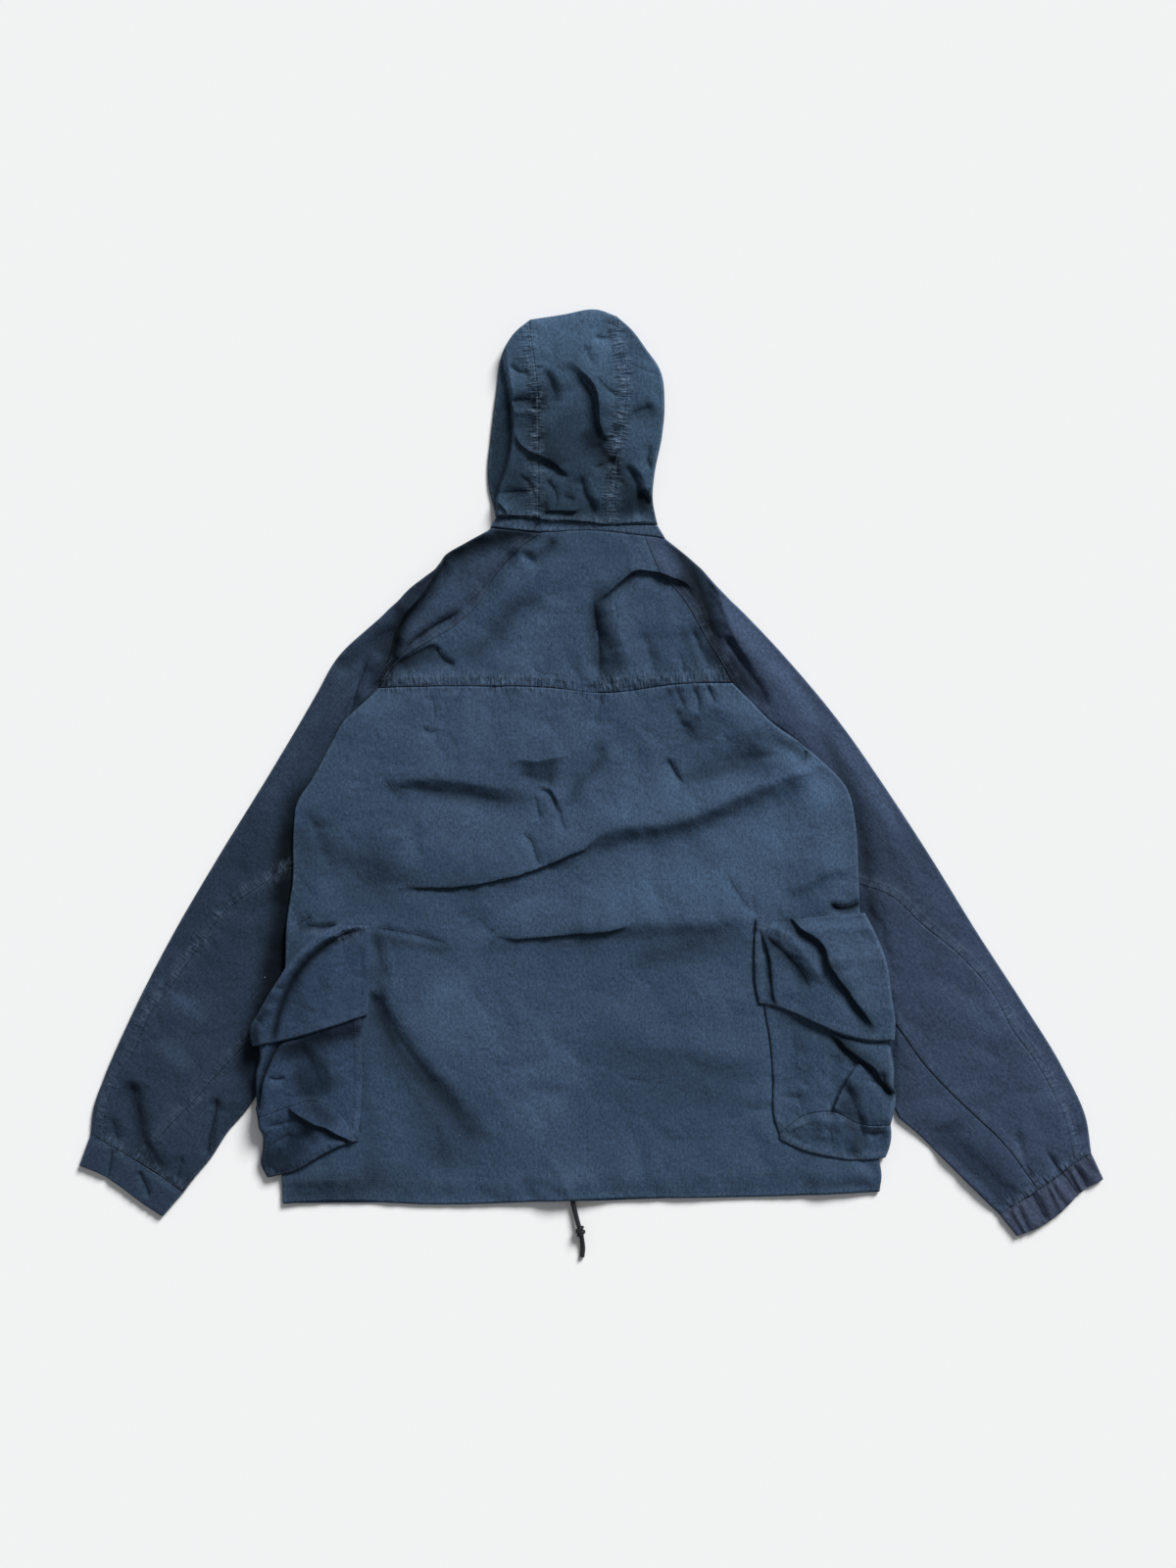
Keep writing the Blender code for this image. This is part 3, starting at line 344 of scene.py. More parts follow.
GUSSET_RIGHT_FOOT = through("221,-429 243,-440 281,-450 318,-454 346,-451")
FLAP_LEFT_FOOT = through("-397,-319 -372,-315 -315,-300 -262,-283")
FLAP_RIGHT_EDGE = through("321,-164 332,-185 344,-214 352,-260 356,-289 355,-312")
FLAP_RIGHT_SIDE = through("193,-171 191,-214 193,-254 197,-270")
FLAP_RIGHT_FOOT = through("197,-270 218,-274 260,-291 295,-306 329,-313 355,-312")

# Creases. Each row: name: rise (a trough is below 0), width to the left of its run, width
# to the right, lean to the left, the share of its length that fades at each end: points;
BODY_CREASES = table_of("""
long fold, soft half: 13 16 50 0 0.2: 297,18 226,-6 180,-24 134,-45 99,-56 42,-64 -4,-79;
long fold, crisp half: 5.5 4 34 5 0.3: 42,-61 10,-72 -9,-86 -27,-93 -50,-102 -85,-115 -119,-123 -154,-129
    -211,-132 -257,-141;
end of long fold: -3.4 14 16 0 0.3: -131,-132 -177,-132 -234,-130 -292,-137;
fold under left arm: -5 14 8 0 0.3: -64,-36 -108,-33 -159,-24 -205,-20 -257,-26;
hollow above gather: -5 12 9 0 0.25: -89,-1 -73,-6 -55,-9 -41,-13;
gather, its arc: -2.8 2.6 4 0 0.25: -67,-25 -59,-20 -50,-22 -43,-32 -41,-49;
gather, lip of arc: 2.6 9 3 -3 0.3: -67,-20 -59,-14 -48,-16 -39,-28 -36,-47;
gather, its leg: -2.4 3 5 0 0.2: -66,-26 -63,-41 -60,-56;
gather, its heel: -2.6 3 5 0 0.2: -37,-38 -35,-56 -28,-68;
gather up to yoke: -4 10 5 0 0.25: -39,-33 -18,-8 3,15 21,37;
crease below gather: -3.2 3 5 0 0.2: -82,-68 -71,-79 -67,-93 -60,-107;
fold at waist, crisp: 4.5 4 24 5 0.2: 53,-176 -4,-183 -39,-186 -79,-190 -119,-191;
fold at waist, soft: 5 15 34 1 0.12: 198,-168 157,-171 111,-175 65,-174 7,-179 -27,-183;
hook of waist fold: -2.4 6 5 0 0.3: -133,-167 -126,-181 -110,-193;
drag from left flap: -6 9 5 0 0.1: -259,-256 -234,-302 -205,-344 -174,-381 -154,-399;
drag from left flap, foot: -5 20 9 0 0.3: -223,-321 -205,-346 -177,-381 -142,-411 -112,-450;
ridge beside drag: 3 9 34 0 0.25: -266,-277 -243,-314 -218,-355 -188,-399 -163,-450;
hollow above hem: -2.6 11 13 0 0.3: -188,-390 -181,-432 -175,-486;
crease from flap corner: -2.6 3 4 0 0.2: -259,-182 -234,-185 -200,-192 -167,-201;
hollow beside left flap: -3.4 9 5 0 0.3: -256,-191 -248,-225 -237,-256;
gathers of yoke, first: -5.6 10 8 0 0.2: 87,102 97,75 108,54 118,36;
gathers of yoke, second: -2.4 4 4 0 0.3: 99,103 104,89 109,75;
gathers of yoke, third: -3.2 4 6 0 0.25: 121,103 125,86 127,68;
gathers of yoke, fourth: -3.2 3 5 0 0.25: 136,105 141,92 147,79;
hollow below gathers: -3 12 12 0 0.3: 104,61 118,45 125,24;
tick, down: -4.5 3 9 0 0.25: 89,20 97,3 109,-14;
tick, up to right: -5.5 20 5 0 0.2: 108,-14 129,1 150,12 180,16 226,22;
crease below yoke: -3 5 6 0 0.25: 11,98 9,77 3,52;
mark left, long: -2.2 5 4 0 0.25: -152,94 -167,74 -182,53;
mark left, hook: -2.4 3 4 0 0.3: -200,55 -189,48 -179,53;
mark left, drop: -2 4 4 0 0.3: -188,95 -185,77 -182,62;
wave under yoke: -1.6 8 10 0 0.3: -91,89 -108,56 -124,22;
hollow under yoke: -1.6 13 14 0 0.3: -87,59 -62,63 -32,49;
notch at right arm: -6 3 5 0 0.15: 241,40 248,33 251,24 249,13;
drag to right arm: -4.2 13 7 0 0.2: 194,54 223,33 251,15;
wave low on right: 3.4 16 30 0 0.3: 226,-335 157,-331 99,-324 7,-319;
small crease low on right: -1.6 2.6 3 0 0.3: 36,-359 53,-360 70,-363;
arc over right pocket: 4.2 8 16 1 0.25: 316,-109 283,-112 255,-126 228,-148;
slit over right pocket: -8 3 5 0 0.2: 279,-153 290,-159 302,-158 318,-151;
creases over left pocket: -3.6 3 3 0 0.25: -348,-181 -339,-174 -325,-169;
slit over left pocket: -4 3 4 0 0.2: -339,-176 -321,-181 -297,-178;
crease under left arm: -3.2 12 5 0 0.3: -333,-47 -323,-75 -309,-116;
hollow left of long fold: -1.8 18 22 0 0.3: -328,-128 -292,-116 -251,-105;
ray from right corner: -2.4 4 8 0 0.25: 157,-116 174,-144 193,-169;
ray above right corner: -1.8 3 3 0 0.3: 190,-141 191,-155 194,-170;
wave beside right bag: -1.8 8 9 0 0.3: 212,-348 191,-365 171,-371;
wave beside right gusset: -2 8 8 0 0.3: 217,-390 194,-397 175,-392;
long wave, middle left: -1.7 15 18 0 0.3: -154,-243 -119,-289 -96,-346;
long wave, middle: -1.6 16 16 0 0.3: 42,-225 67,-252 65,-289;
wave by hem, right: -2 10 12 0 0.3: 42,-415 59,-450 51,-480;
pinch at cord: 1.6 9 9 0 0.3: -50,-455 -34,-477 -25,-505;
pull above hem, left: -1.8 8 8 0 0.3: -266,-438 -267,-459 -271,-480;
crest above that fold: 4 7 34 0 0.3: -64,-22 -108,-17 -159,-9 -211,-7 -269,-15;
edge above hollow: 4.2 26 5 0 0.25: -98,6 -85,14 -64,13 -43,17 -25,21;
ridge beside that gather: 4.4 6 22 0 0.25: -29,-38 -6,-10 14,12 35,36;
""")
LET_IN = ((BAG_LEFT_SEAM, -1.1), (BAG_RIGHT_SEAM, -1.1), (FLAP_LEFT_SIDE, -0.9), (FLAP_RIGHT_SIDE, -0.9))
for sewn, depth in LET_IN:
    BODY_CREASES.append(("let in along a pocket", depth, 4, 4, 0, 0.04, sewn))
BODY_CREASES += table_of("""
black wedge right of left flap: -4 7 2.6 0 0.2: -260,-254 -252,-273 -244,-289 -232,-316;
""")
UPPER_CREASES = table_of("""
fold behind neck, left: 7.5 13 20 2 0.2: -43,281 -73,285 -102,289 -140,274 -170,255;
black fold of left shoulder: 10 4 15 6 0.16: -167,263 -187,237 -206,210 -228,184 -237,168 -244,144
    -250,121 -258,97;
its valley: -7 7 5 0 0.12: -170,254 -181,227 -202,199 -223,178 -232,155 -236,130 -243,102;
first fold of left arm: -4.6 7 8 0 0.2: -232,178 -257,156 -277,140 -296,121;
second fold of left arm: -5.6 5 5 0 0.14: -262,141 -273,109 -286,68 -305,31;
ridge between them: 3 8 8 0 0.25: -252,144 -262,112 -275,77;
notch of left arm: -3.6 7 6 0 0.25: -308,132 -296,128 -285,116;
fold along left raglan: -6 7 4 0 0.25: -149,192 -170,181 -191,168 -212,151 -227,133;
drop into left raglan: -4.6 8 6 0 0.2: -82,268 -108,238 -131,210 -154,187;
wedge in yoke: -5.5 4 12 0 0.25: -234,121 -220,132 -204,141 -179,152;
hook of wedge: -5 4 5 0 0.2: -183,151 -178,137 -159,126;
long hollow of yoke: -5.5 14 13 0 0.35: -48,207 -71,200 -94,187 -110,168 -124,147 -149,132;
tick by neck: -4.4 8 4 0 0.2: -86,262 -74,252 -66,247 -57,255 -47,268 -37,278;
crisp fold, right of neck: 6 4 17 4 0.2: 121,210 113,224 97,233 72,240 50,241 33,228 17,213 3,199;
its valley, right: -3.2 9 4 0 0.25: 119,206 109,218 93,228 72,233 51,235 35,221 19,206;
centre crease: -4.6 8 16 0 0.3: 2,213 3,192 6,166 9,139 9,102;
ridge right of centre: 5.5 13 16 0 0.3: 24,217 27,192 33,167 40,139 44,114;
centre, small crease: -2 3 3 0 0.3: 26,205 29,192 30,176;
hollow right of centre: -4 8 9 0 0.3: 56,171 67,144 76,112;
crease by right raglan: -4.4 6 6 0 0.3: 116,176 127,148 141,116;
small gather, right of yoke: -2 4 4 0 0.3: 102,144 108,125 111,109;
soft fold, middle of yoke: 1.8 12 16 0 0.3: 99,217 88,183 99,148;
black valley, right shoulder: -8 11 5 0 0.25: 112,261 125,231 134,199 142,164 154,132;
second valley, right shoulder: -7 6 5 0 0.14: 155,162 173,139 189,109 209,77;
ridge of right shoulder: 4 16 8 -2 0.2: 129,256 152,210 166,169 198,114;
soft valley, right upper arm: -3.6 15 15 0 0.25: 233,114 270,62 297,5 318,-26;
sleeve beside back, right: -2.2 9 14 0 0.2: 293,16 313,-43 323,-105 327,-162;
sleeve beside pocket, right: -2.6 7 9 0 0.2: 318,-145 335,-176 349,-220 357,-254;
right elbow, first wave: -2 9 14 0 0.3: 394,-231 439,-259 490,-312;
right elbow, second wave: -1.8 9 12 0 0.3: 419,-312 456,-321 488,-346;
right forearm fold: -9.5 16 8 0 0.16: 400,-415 423,-440 450,-466 476,-491 496,-519;
ridge below forearm fold: 2.8 7 10 0 0.25: 397,-436 425,-463 459,-493 482,-519;
crease at right cuff: -3.4 3 4 0 0.25: 532,-440 543,-457 555,-475;
wave at right cuff: -3 6 6 0 0.25: 497,-415 507,-450 520,-484;
second wave at right cuff: -2.6 6 6 0 0.25: 557,-383 566,-411 573,-440;
sleeve beside back, left: -2.4 14 9 0 0.15: -324,-13 -354,-70 -365,-128 -367,-185 -377,-243;
cloth tip beside back: 2.6 5 6 0 0.3: -370,-84 -358,-66 -347,-47;
left elbow wave: -2.2 16 10 0 0.3: -407,-91 -423,-133 -434,-183;
left elbow wave, low: -1.8 12 12 0 0.3: -464,-261 -473,-300 -487,-346;
left forearm fold: -8.5 6 14 0 0.16: -542,-358 -536,-388 -531,-420 -520,-452 -507,-482;
fold by left cuff: -6.5 4 7 0 0.16: -440,-378 -443,-401 -449,-427 -451,-454;
gather at left cuff: -2.8 5 5 0 0.25: -563,-404 -561,-420 -555,-436;
second gather at left cuff: -2.6 4 5 0 0.25: -480,-447 -485,-466 -489,-482;
centre crease, crisp side: -3.2 2.6 9 0 0.25: 3,204 7,171 10,139 10,107;
""")
HOOD_CREASES = table_of("""
crown fold: 6.5 22 5 -3 0.3: -30,485 -13,474 2,460 10,445 12,427 12,411 18,394 28,383;
its valley: -3.6 4 15 0 0.3: -34,481 -18,467 -4,450 3,431 5,413 10,394 19,381;
patch below crown fold: -4.6 9 7 0 0.25: 7,390 14,374 28,362;
fold left of left seam: -7.5 5 7 0 0.16: -95,434 -83,438 -73,437 -63,434;
lit edge under it: 3.6 4 6 0 0.3: -94,422 -79,424 -66,424;
strip right of left seam: -5.2 7 6 0 0.2: -55,473 -48,459 -45,443 -47,429;
fold across left side: 4.5 11 4 -2.5 0.2: -91,406 -85,392 -75,381 -59,374 -39,362 -24,346;
patch under that fold: -5 5 8 0 0.2: -78,376 -68,369 -48,362 -34,353 -25,344;
crease by nape, left: -4 4 6 0 0.35: -119,328 -91,330 -59,331;
second crease, left: -2.2 4 4 0 0.25: -103,314 -91,323 -73,325;
slit by neck: 4 8 2.4 -2.5 0.16: -57,310 -41,310 -27,310 -13,312;
hollow of nape: -5.4 6 8 0 0.2: -12,351 -9,330 1,312 7,300;
small hollow, nape left: -4 5 5 0 0.3: -36,325 -27,323 -18,319;
fold right of nape: -7 7 4 0 0.14: 37,362 49,348 53,332 56,316 58,298;
lit edge right of nape: 3.4 6 8 0 0.25: 44,367 58,351 64,332 65,319;
notch of right side: -9 4 5 0 0.12: 59,331 65,321 73,310 80,298;
band on right side: -4 5 8 0 0.3: 42,417 56,425 76,430;
crease, right side low: -4 4 5 0 0.3: 70,388 66,369 71,351;
crease at top: -3.6 6 7 0 0.3: -9,503 -4,491 5,475;
ray to right seam: -3.6 5 7 0 0.3: 1,513 14,509 30,512;
faint line, right: -1.2 2.4 3 0 0.25: 40,482 59,473 83,465;
roll over neck, left: 4 9 2.4 -2.5 0.12: -116,306 -96,305 -73,304 -52,302;
roll over neck, middle: 4.5 9 2.4 -2.5 0.12: -66,302 -48,299 -27,299 3,297;
roll over neck, right: 3.6 8 2.4 -2 0.12: -6,298 19,294 48,296 81,296;
overlap at left edge: 3.2 7 3 -2 0.15: -119,323 -105,316 -96,307;
crumple left of nape: -3 3 7 0 0.25: -85,351 -73,340 -66,324;
crumple over slit: -3.2 3 6 0 0.25: -55,346 -43,332 -39,315;
crumple right of crown: -2.6 3 6 0 0.25: 7,466 21,450 35,438;
drag to right seam: -3.4 4 8 0 0.25: 10,388 21,393 35,401;
drag below right seam: -3.4 3 7 0 0.25: 1,358 14,362 30,371;
crease left of left seam: -2.6 3 5 0 0.25: -98,480 -85,470 -67,468;
""")
BAG_LEFT_CREASES = table_of("""
front edge of bag: 8 16 4 -5 0.1: -342,-296 -356,-316 -371,-342 -379,-367 -384,-399 -384,-427;
valley beside it: -6 4 5 0 0.1: -349,-300 -362,-319 -375,-342 -384,-369 -387,-404;
tick in bag: -4 3 3 0 0.3: -375,-355 -366,-359 -355,-356;
bellows fold: 7 12 3.5 -4 0.1: -356,-389 -342,-397 -324,-407 -303,-415 -286,-424 -272,-432;
its upper edge: -3 7 4 0 0.2: -351,-383 -328,-377 -308,-385 -289,-404 -273,-424;
hollow behind fold: -5.5 12 10 0 0.25: -342,-314 -328,-346 -310,-376 -294,-397;
hollow under flap: -2.6 9 9 0 0.25: -349,-319 -315,-312 -273,-300;
wedge of gusset: -6 11 10 0 0.25: -324,-415 -349,-436 -373,-463;
ray of gusset, high: -2 3 4 0 0.3: -384,-415 -363,-411 -342,-404;
ray of gusset, low: -2 3 4 0 0.3: -381,-440 -367,-431 -351,-422;
foot of gusset: 3.6 6 10 0 0.2: -372,-468 -338,-450 -308,-436 -280,-431;
hollow right of fold: -2.6 7 7 0 0.3: -301,-358 -289,-388 -278,-413;
""")
FLAP_LEFT_CREASES = table_of("""
rolled edge of flap: 8 8 9 0 0.06: -264,-178 -292,-184 -318,-198 -342,-217 -361,-240 -375,-268
    -386,-296 -388,-330;
valley inside roll: -7 4 3 0 0.06: -264,-183 -292,-191 -310,-202 -328,-218 -344,-236 -356,-256
    -364,-277 -372,-300 -384,-328;
soft dent of flap: -2.4 8 8 0 0.3: -333,-270 -317,-261 -301,-247;
pleat of roll: -2.4 3 4 0 0.3: -397,-293 -388,-289 -381,-298;
crease of roll: -2 3 3 0 0.2: -379,-245 -367,-250 -356,-252;
""")
BAG_RIGHT_CREASES = table_of("""
upper fold of bag: 7 12 4 -5 0.1: 274,-291 286,-305 302,-319 318,-330 333,-340 342,-356 356,-376;
its valley: -5 4 5 0 0.1: 272,-298 297,-321 313,-336 327,-348 339,-365 357,-382;
eye beside fold: -6 4 4 0 0.2: 344,-346 347,-365 357,-381;
edge of inner layer: 5.5 15 3 -4 0.12: 320,-337 303,-358 293,-378 285,-399;
its shadow line: -2.4 3 4 0 0.12: 313,-337 296,-358 286,-378 279,-397;
inner fold of bag: -5 6 5 0 0.2: 298,-358 306,-383 316,-413 318,-445;
fold at outer edge: -3.6 5 5 0 0.25: 323,-422 336,-422 352,-408;
hollow under flap: -3.6 9 7 0 0.2: 214,-282 243,-293 278,-309;
hollow left of fold: -3 10 10 0 0.3: 290,-323 283,-346 279,-371;
crease at seam: -1.6 4 4 0 0.3: 217,-376 233,-381 249,-378;
crescent, its back: 3.2 8 9 0 0.2: 226,-422 249,-411 278,-406 304,-413;
dent of crescent: -2.6 5 5 0 0.3: 270,-411 281,-424 279,-440;
""")
FLAP_RIGHT_CREASES = table_of("""
side of flap: 3.8 15 2.6 -2.5 0.16: 197,-178 208,-204 212,-227 214,-250 219,-277;
valley beside it: -2.2 4 4 0 0.14: 198,-178 209,-222 212,-247 216,-275;
soft ridge of flap: 4 8 12 0 0.2: 208,-174 231,-192 251,-215 272,-247;
soft valley of flap: -4.6 3.4 9 0 0.25: 201,-185 217,-201 233,-217 247,-236 258,-256;
deep fold of flap: 5.6 18 4 -4 0.12: 228,-162 247,-178 274,-199 282,-224 297,-245 310,-263 325,-284
    332,-302;
its valley: -3 4 6 0 0.14: 233,-171 247,-186 269,-208 275,-228 289,-250 302,-269 316,-286 326,-302;
crease by side seam: -3.4 5 4 0 0.25: 283,-178 297,-169 316,-158;
slope by edge: -1.6 8 8 0 0.3: 309,-185 327,-197 343,-206;
""")

# Seams. Each row: name, the side that its allowances lie on (1 is left of its run), width
# and lift of that band, height and pitch of the gathers, rows of stitching beside it,
# and its line.
YOKE_STITCHED = through("-250,100 -142,102 -50,100 7,94 42,101 111,105 166,107")
HEM_STITCHED = through("-363,-480 -280,-476 -188,-480 -96,-477 42,-474 134,-470 226,-469 343,-467")
NECK_STITCHED = through("-119,289 -60,283 0,285 63,279 87,276")
UPPER_SEAMS = [
    ("yoke seam", 1, 12.0, 1.0, 1.1, 8.5, (2.0, 10.5), YOKE_STITCHED),
    ("left raglan seam", -1, 9.0, 0.8, 0.3, 13.0, (2.0, 8.0), RAGLAN_LEFT),
    ("right raglan seam", 1, 9.0, 0.8, 0.3, 13.0, (2.0, 8.0), RAGLAN_RIGHT),
    ("neck seam", 1, 7.0, 0.6, 0.25, 9.0, (1.5,), NECK_BACK),
    ("left elbow seam", -1, 9.0, 0.7, 0.55, 9.0, (2.0, 8.0), ELBOW_SEAM_LEFT),
    ("right elbow seam", 1, 9.0, 0.7, 0.6, 8.5, (2.0, 8.0), ELBOW_SEAM_RIGHT),
    ("left under seam", -1, 9.0, 0.6, 0.4, 9.0, (2.0, 8.0), UNDER_SEAM_LEFT),
    ("right under seam", 1, 9.0, 0.6, 0.3, 10.0, (2.0, 8.0), UNDER_SEAM_RIGHT),
    ("left cuff seam", 1, 7.0, 0.9, 0.8, 7.5, (1.5,), CUFF_SEAM_LEFT),
    ("right cuff seam", -1, 7.0, 0.9, 0.9, 6.5, (1.5,), CUFF_SEAM_RIGHT),
]
BODY_SEAMS = [
    UPPER_SEAMS[0],
    ("hem stitching", -1, 24.0, 0.5, 0.12, 14.0, (0.0,), HEM_STITCHED),
    ("side seam, left", -1, 6.0, 0.5, 0.3, 9.0, (1.5,), through("-358,-185 -338,-183 -315,-183")),
]
HOOD_SEAMS = [
    ("left hood seam", 1, 9.0, 0.7, 1.35, 8.0, (2.0, 9.0), HOOD_SEAM_LEFT),
    ("right hood seam", 1, 9.0, 0.7, 1.6, 7.5, (2.0, 9.0), HOOD_SEAM_RIGHT),
    ("neck of the hood", 1, 5.0, 0.4, 1.0, 8.0, (3.0,), HOOD_JOINT),
]
NECK_SEAMS = [
    ("neck band, upper edge", -1, 5.0, 0.6, 0.7, 8.0, (2.0,), HOOD_JOINT),
    ("neck band, lower edge", 1, 5.0, 0.6, 0.7, 8.0, (2.0,), NECK_STITCHED),
]
FLAP_LEFT_SEAMS = [
    ("flap, upper edge", -1, 7.0, 0.6, 0.7, 7.0, (2.0, 7.0), through("-259,-182 -280,-189 -298,-199")),
    ("flap, inner edge", -1, 7.0, 0.5, 0.12, 11.0, (2.5,), FLAP_LEFT_SIDE),
    ("flap, foot", 1, 7.0, 0.5, 0.12, 11.0, (2.5,), FLAP_LEFT_FOOT),
]
BAG_LEFT_SEAMS = [
    ("bag, inner seam", -1, 7.0, 0.8, 0.25, 9.0, (2.0, 7.0), BAG_LEFT_SEAM),
    ("gusset, foot", 1, 6.0, 0.6, 0.5, 7.0, (2.0,), GUSSET_LEFT_FOOT),
]
FLAP_RIGHT_SEAMS = [
    ("flap, upper edge", -1, 7.0, 0.6, 0.5, 7.0, (2.0,), through("194,-174 214,-181 235,-189")),
    ("flap, far upper edge", -1, 9.0, 0.6, 0.3, 7.0, (2.0,), through("275,-216 309,-213 344,-209")),
    ("flap, inner edge", 1, 7.0, 0.5, 0.12, 11.0, (2.5,), FLAP_RIGHT_SIDE),
    ("flap, foot", 1, 7.0, 0.5, 0.12, 11.0, (2.5,), FLAP_RIGHT_FOOT),
]
BAG_RIGHT_SEAMS = [
    ("bag, inner seam", 1, 7.0, 0.8, 0.25, 9.0, (2.0, 7.0), BAG_RIGHT_SEAM),
    ("crescent, upper seam", -1, 7.0, 0.8, 0.4, 8.0, (2.0, 6.0), BAG_RIGHT_RIDGE),
    ("gusset, foot", 1, 6.0, 0.6, 0.5, 8.0, (2.0,), GUSSET_RIGHT_FOOT),
]

# Shades: painted shade and painted light, where the cloth is coloured darker or paler to stand
# for the shadows of folds and for how the light falls, with a few rubbed, worn patches. Each row:
# name: change of brightness, reach: points;
BODY_SHADES = table_of("""
low on left: -0.14 90: -349,-519 -257,-450 -177,-369 -119,-266;
along left side: -0.12 60: -349,-82 -358,-197 -349,-358;
left end of long fold: -0.2 26: -315,-141 -234,-133 -154,-132 -73,-116;
under left arm: -0.24 11: -252,-26 -200,-20 -142,-25 -67,-36;
under long fold: -0.34 10: -11,-95 16,-84 39,-76 82,-69 126,-56 170,-39 226,-15;
above gather: -0.34 13: -87,8 -66,-1 -36,10;
beside gather: -0.26 8: -39,-38 -13,-13 5,8 21,31;
right of long fold: 0.1 70: 111,33 203,-59 272,-128;
tick: -0.2 14: 99,-1 134,3 214,22;
below yoke, right: -0.2 14: 83,102 99,62 125,29;
hollow above hem: -0.16 22: -240,-300 -200,-358 -174,-415 -174,-484;
slit over right pocket: -0.6 6: 277,-153 295,-159 318,-152;
creases over left pocket: -0.5 6: -349,-181 -324,-179 -294,-177;
right of tick: -0.16 22: 99,56 141,33 203,38;
under waist fold: -0.34 9: -50,-190 -16,-185 30,-187 99,-185 180,-181;
below waist: -0.1 40: -4,-231 65,-266 134,-231;
below middle of yoke: 0.2 24: -85,98 -50,84 -16,56 -4,22;
beside right arm: 0.24 13: 145,54 166,43 189,29;
under left arm, low: -0.28 26: -361,-61 -315,-89 -266,-105 -223,-116;
notch at right arm: -0.4 7: 185,54 214,36 240,29 254,8;
right half: 0.16 90: -4,-105 111,-82 226,-59 318,-36;
end of long fold, right: 0.3 16: 203,-13 235,-10 265,-22 283,-43;
below gather: 0.3 15: -43,-33 -18,-38 14,-47 53,-38;
foot of long fold: -0.32 8: -55,-112 -27,-100 1,-86 30,-75;
tick, its foot: -0.32 9: 99,-10 129,-1 162,10 214,22;
fold under left arm: -0.24 9: -211,-20 -170,-24 -131,-31 -91,-43;
flap corner, left: -0.34 7: -262,-187 -239,-194 -206,-201 -165,-210;
beside left flap: -0.36 8: -252,-178 -249,-210 -246,-243 -241,-270;
waist, soft half: -0.26 12: 37,-224 99,-206 159,-197 226,-199;
waist, left: -0.16 12: -142,-210 -85,-199 -27,-199 19,-215;
drag from left flap: -0.55 12: -266,-252 -248,-289 -225,-325 -193,-365 -158,-401 -119,-445;
low middle, left: 0.32 55: -211,-254 -142,-312 -62,-358 -4,-392;
low middle, right: -0.18 42: -27,-296 42,-342 122,-367 214,-369;
below waist, right: 0.2 24: -4,-256 65,-266 134,-261 191,-247;
left corner of hem: -0.34 16: -372,-498 -326,-491 -280,-484 -234,-468;
middle left: 0.14 34: -234,-105 -188,-70 -119,-70 -73,-105;
above waist: 0.14 22: -142,-162 -50,-151 65,-139 180,-151;
by hem: 0.26 5: -418,-504 -177,-506 -4,-503 157,-499 375,-494;
beside left bag: 0.2 20: -239,-335 -234,-381 -229,-427 -225,-473;
black wedge right of left flap: -0.5 4.5: -264,-252 -252,-273 -243,-291 -227,-323;
""")
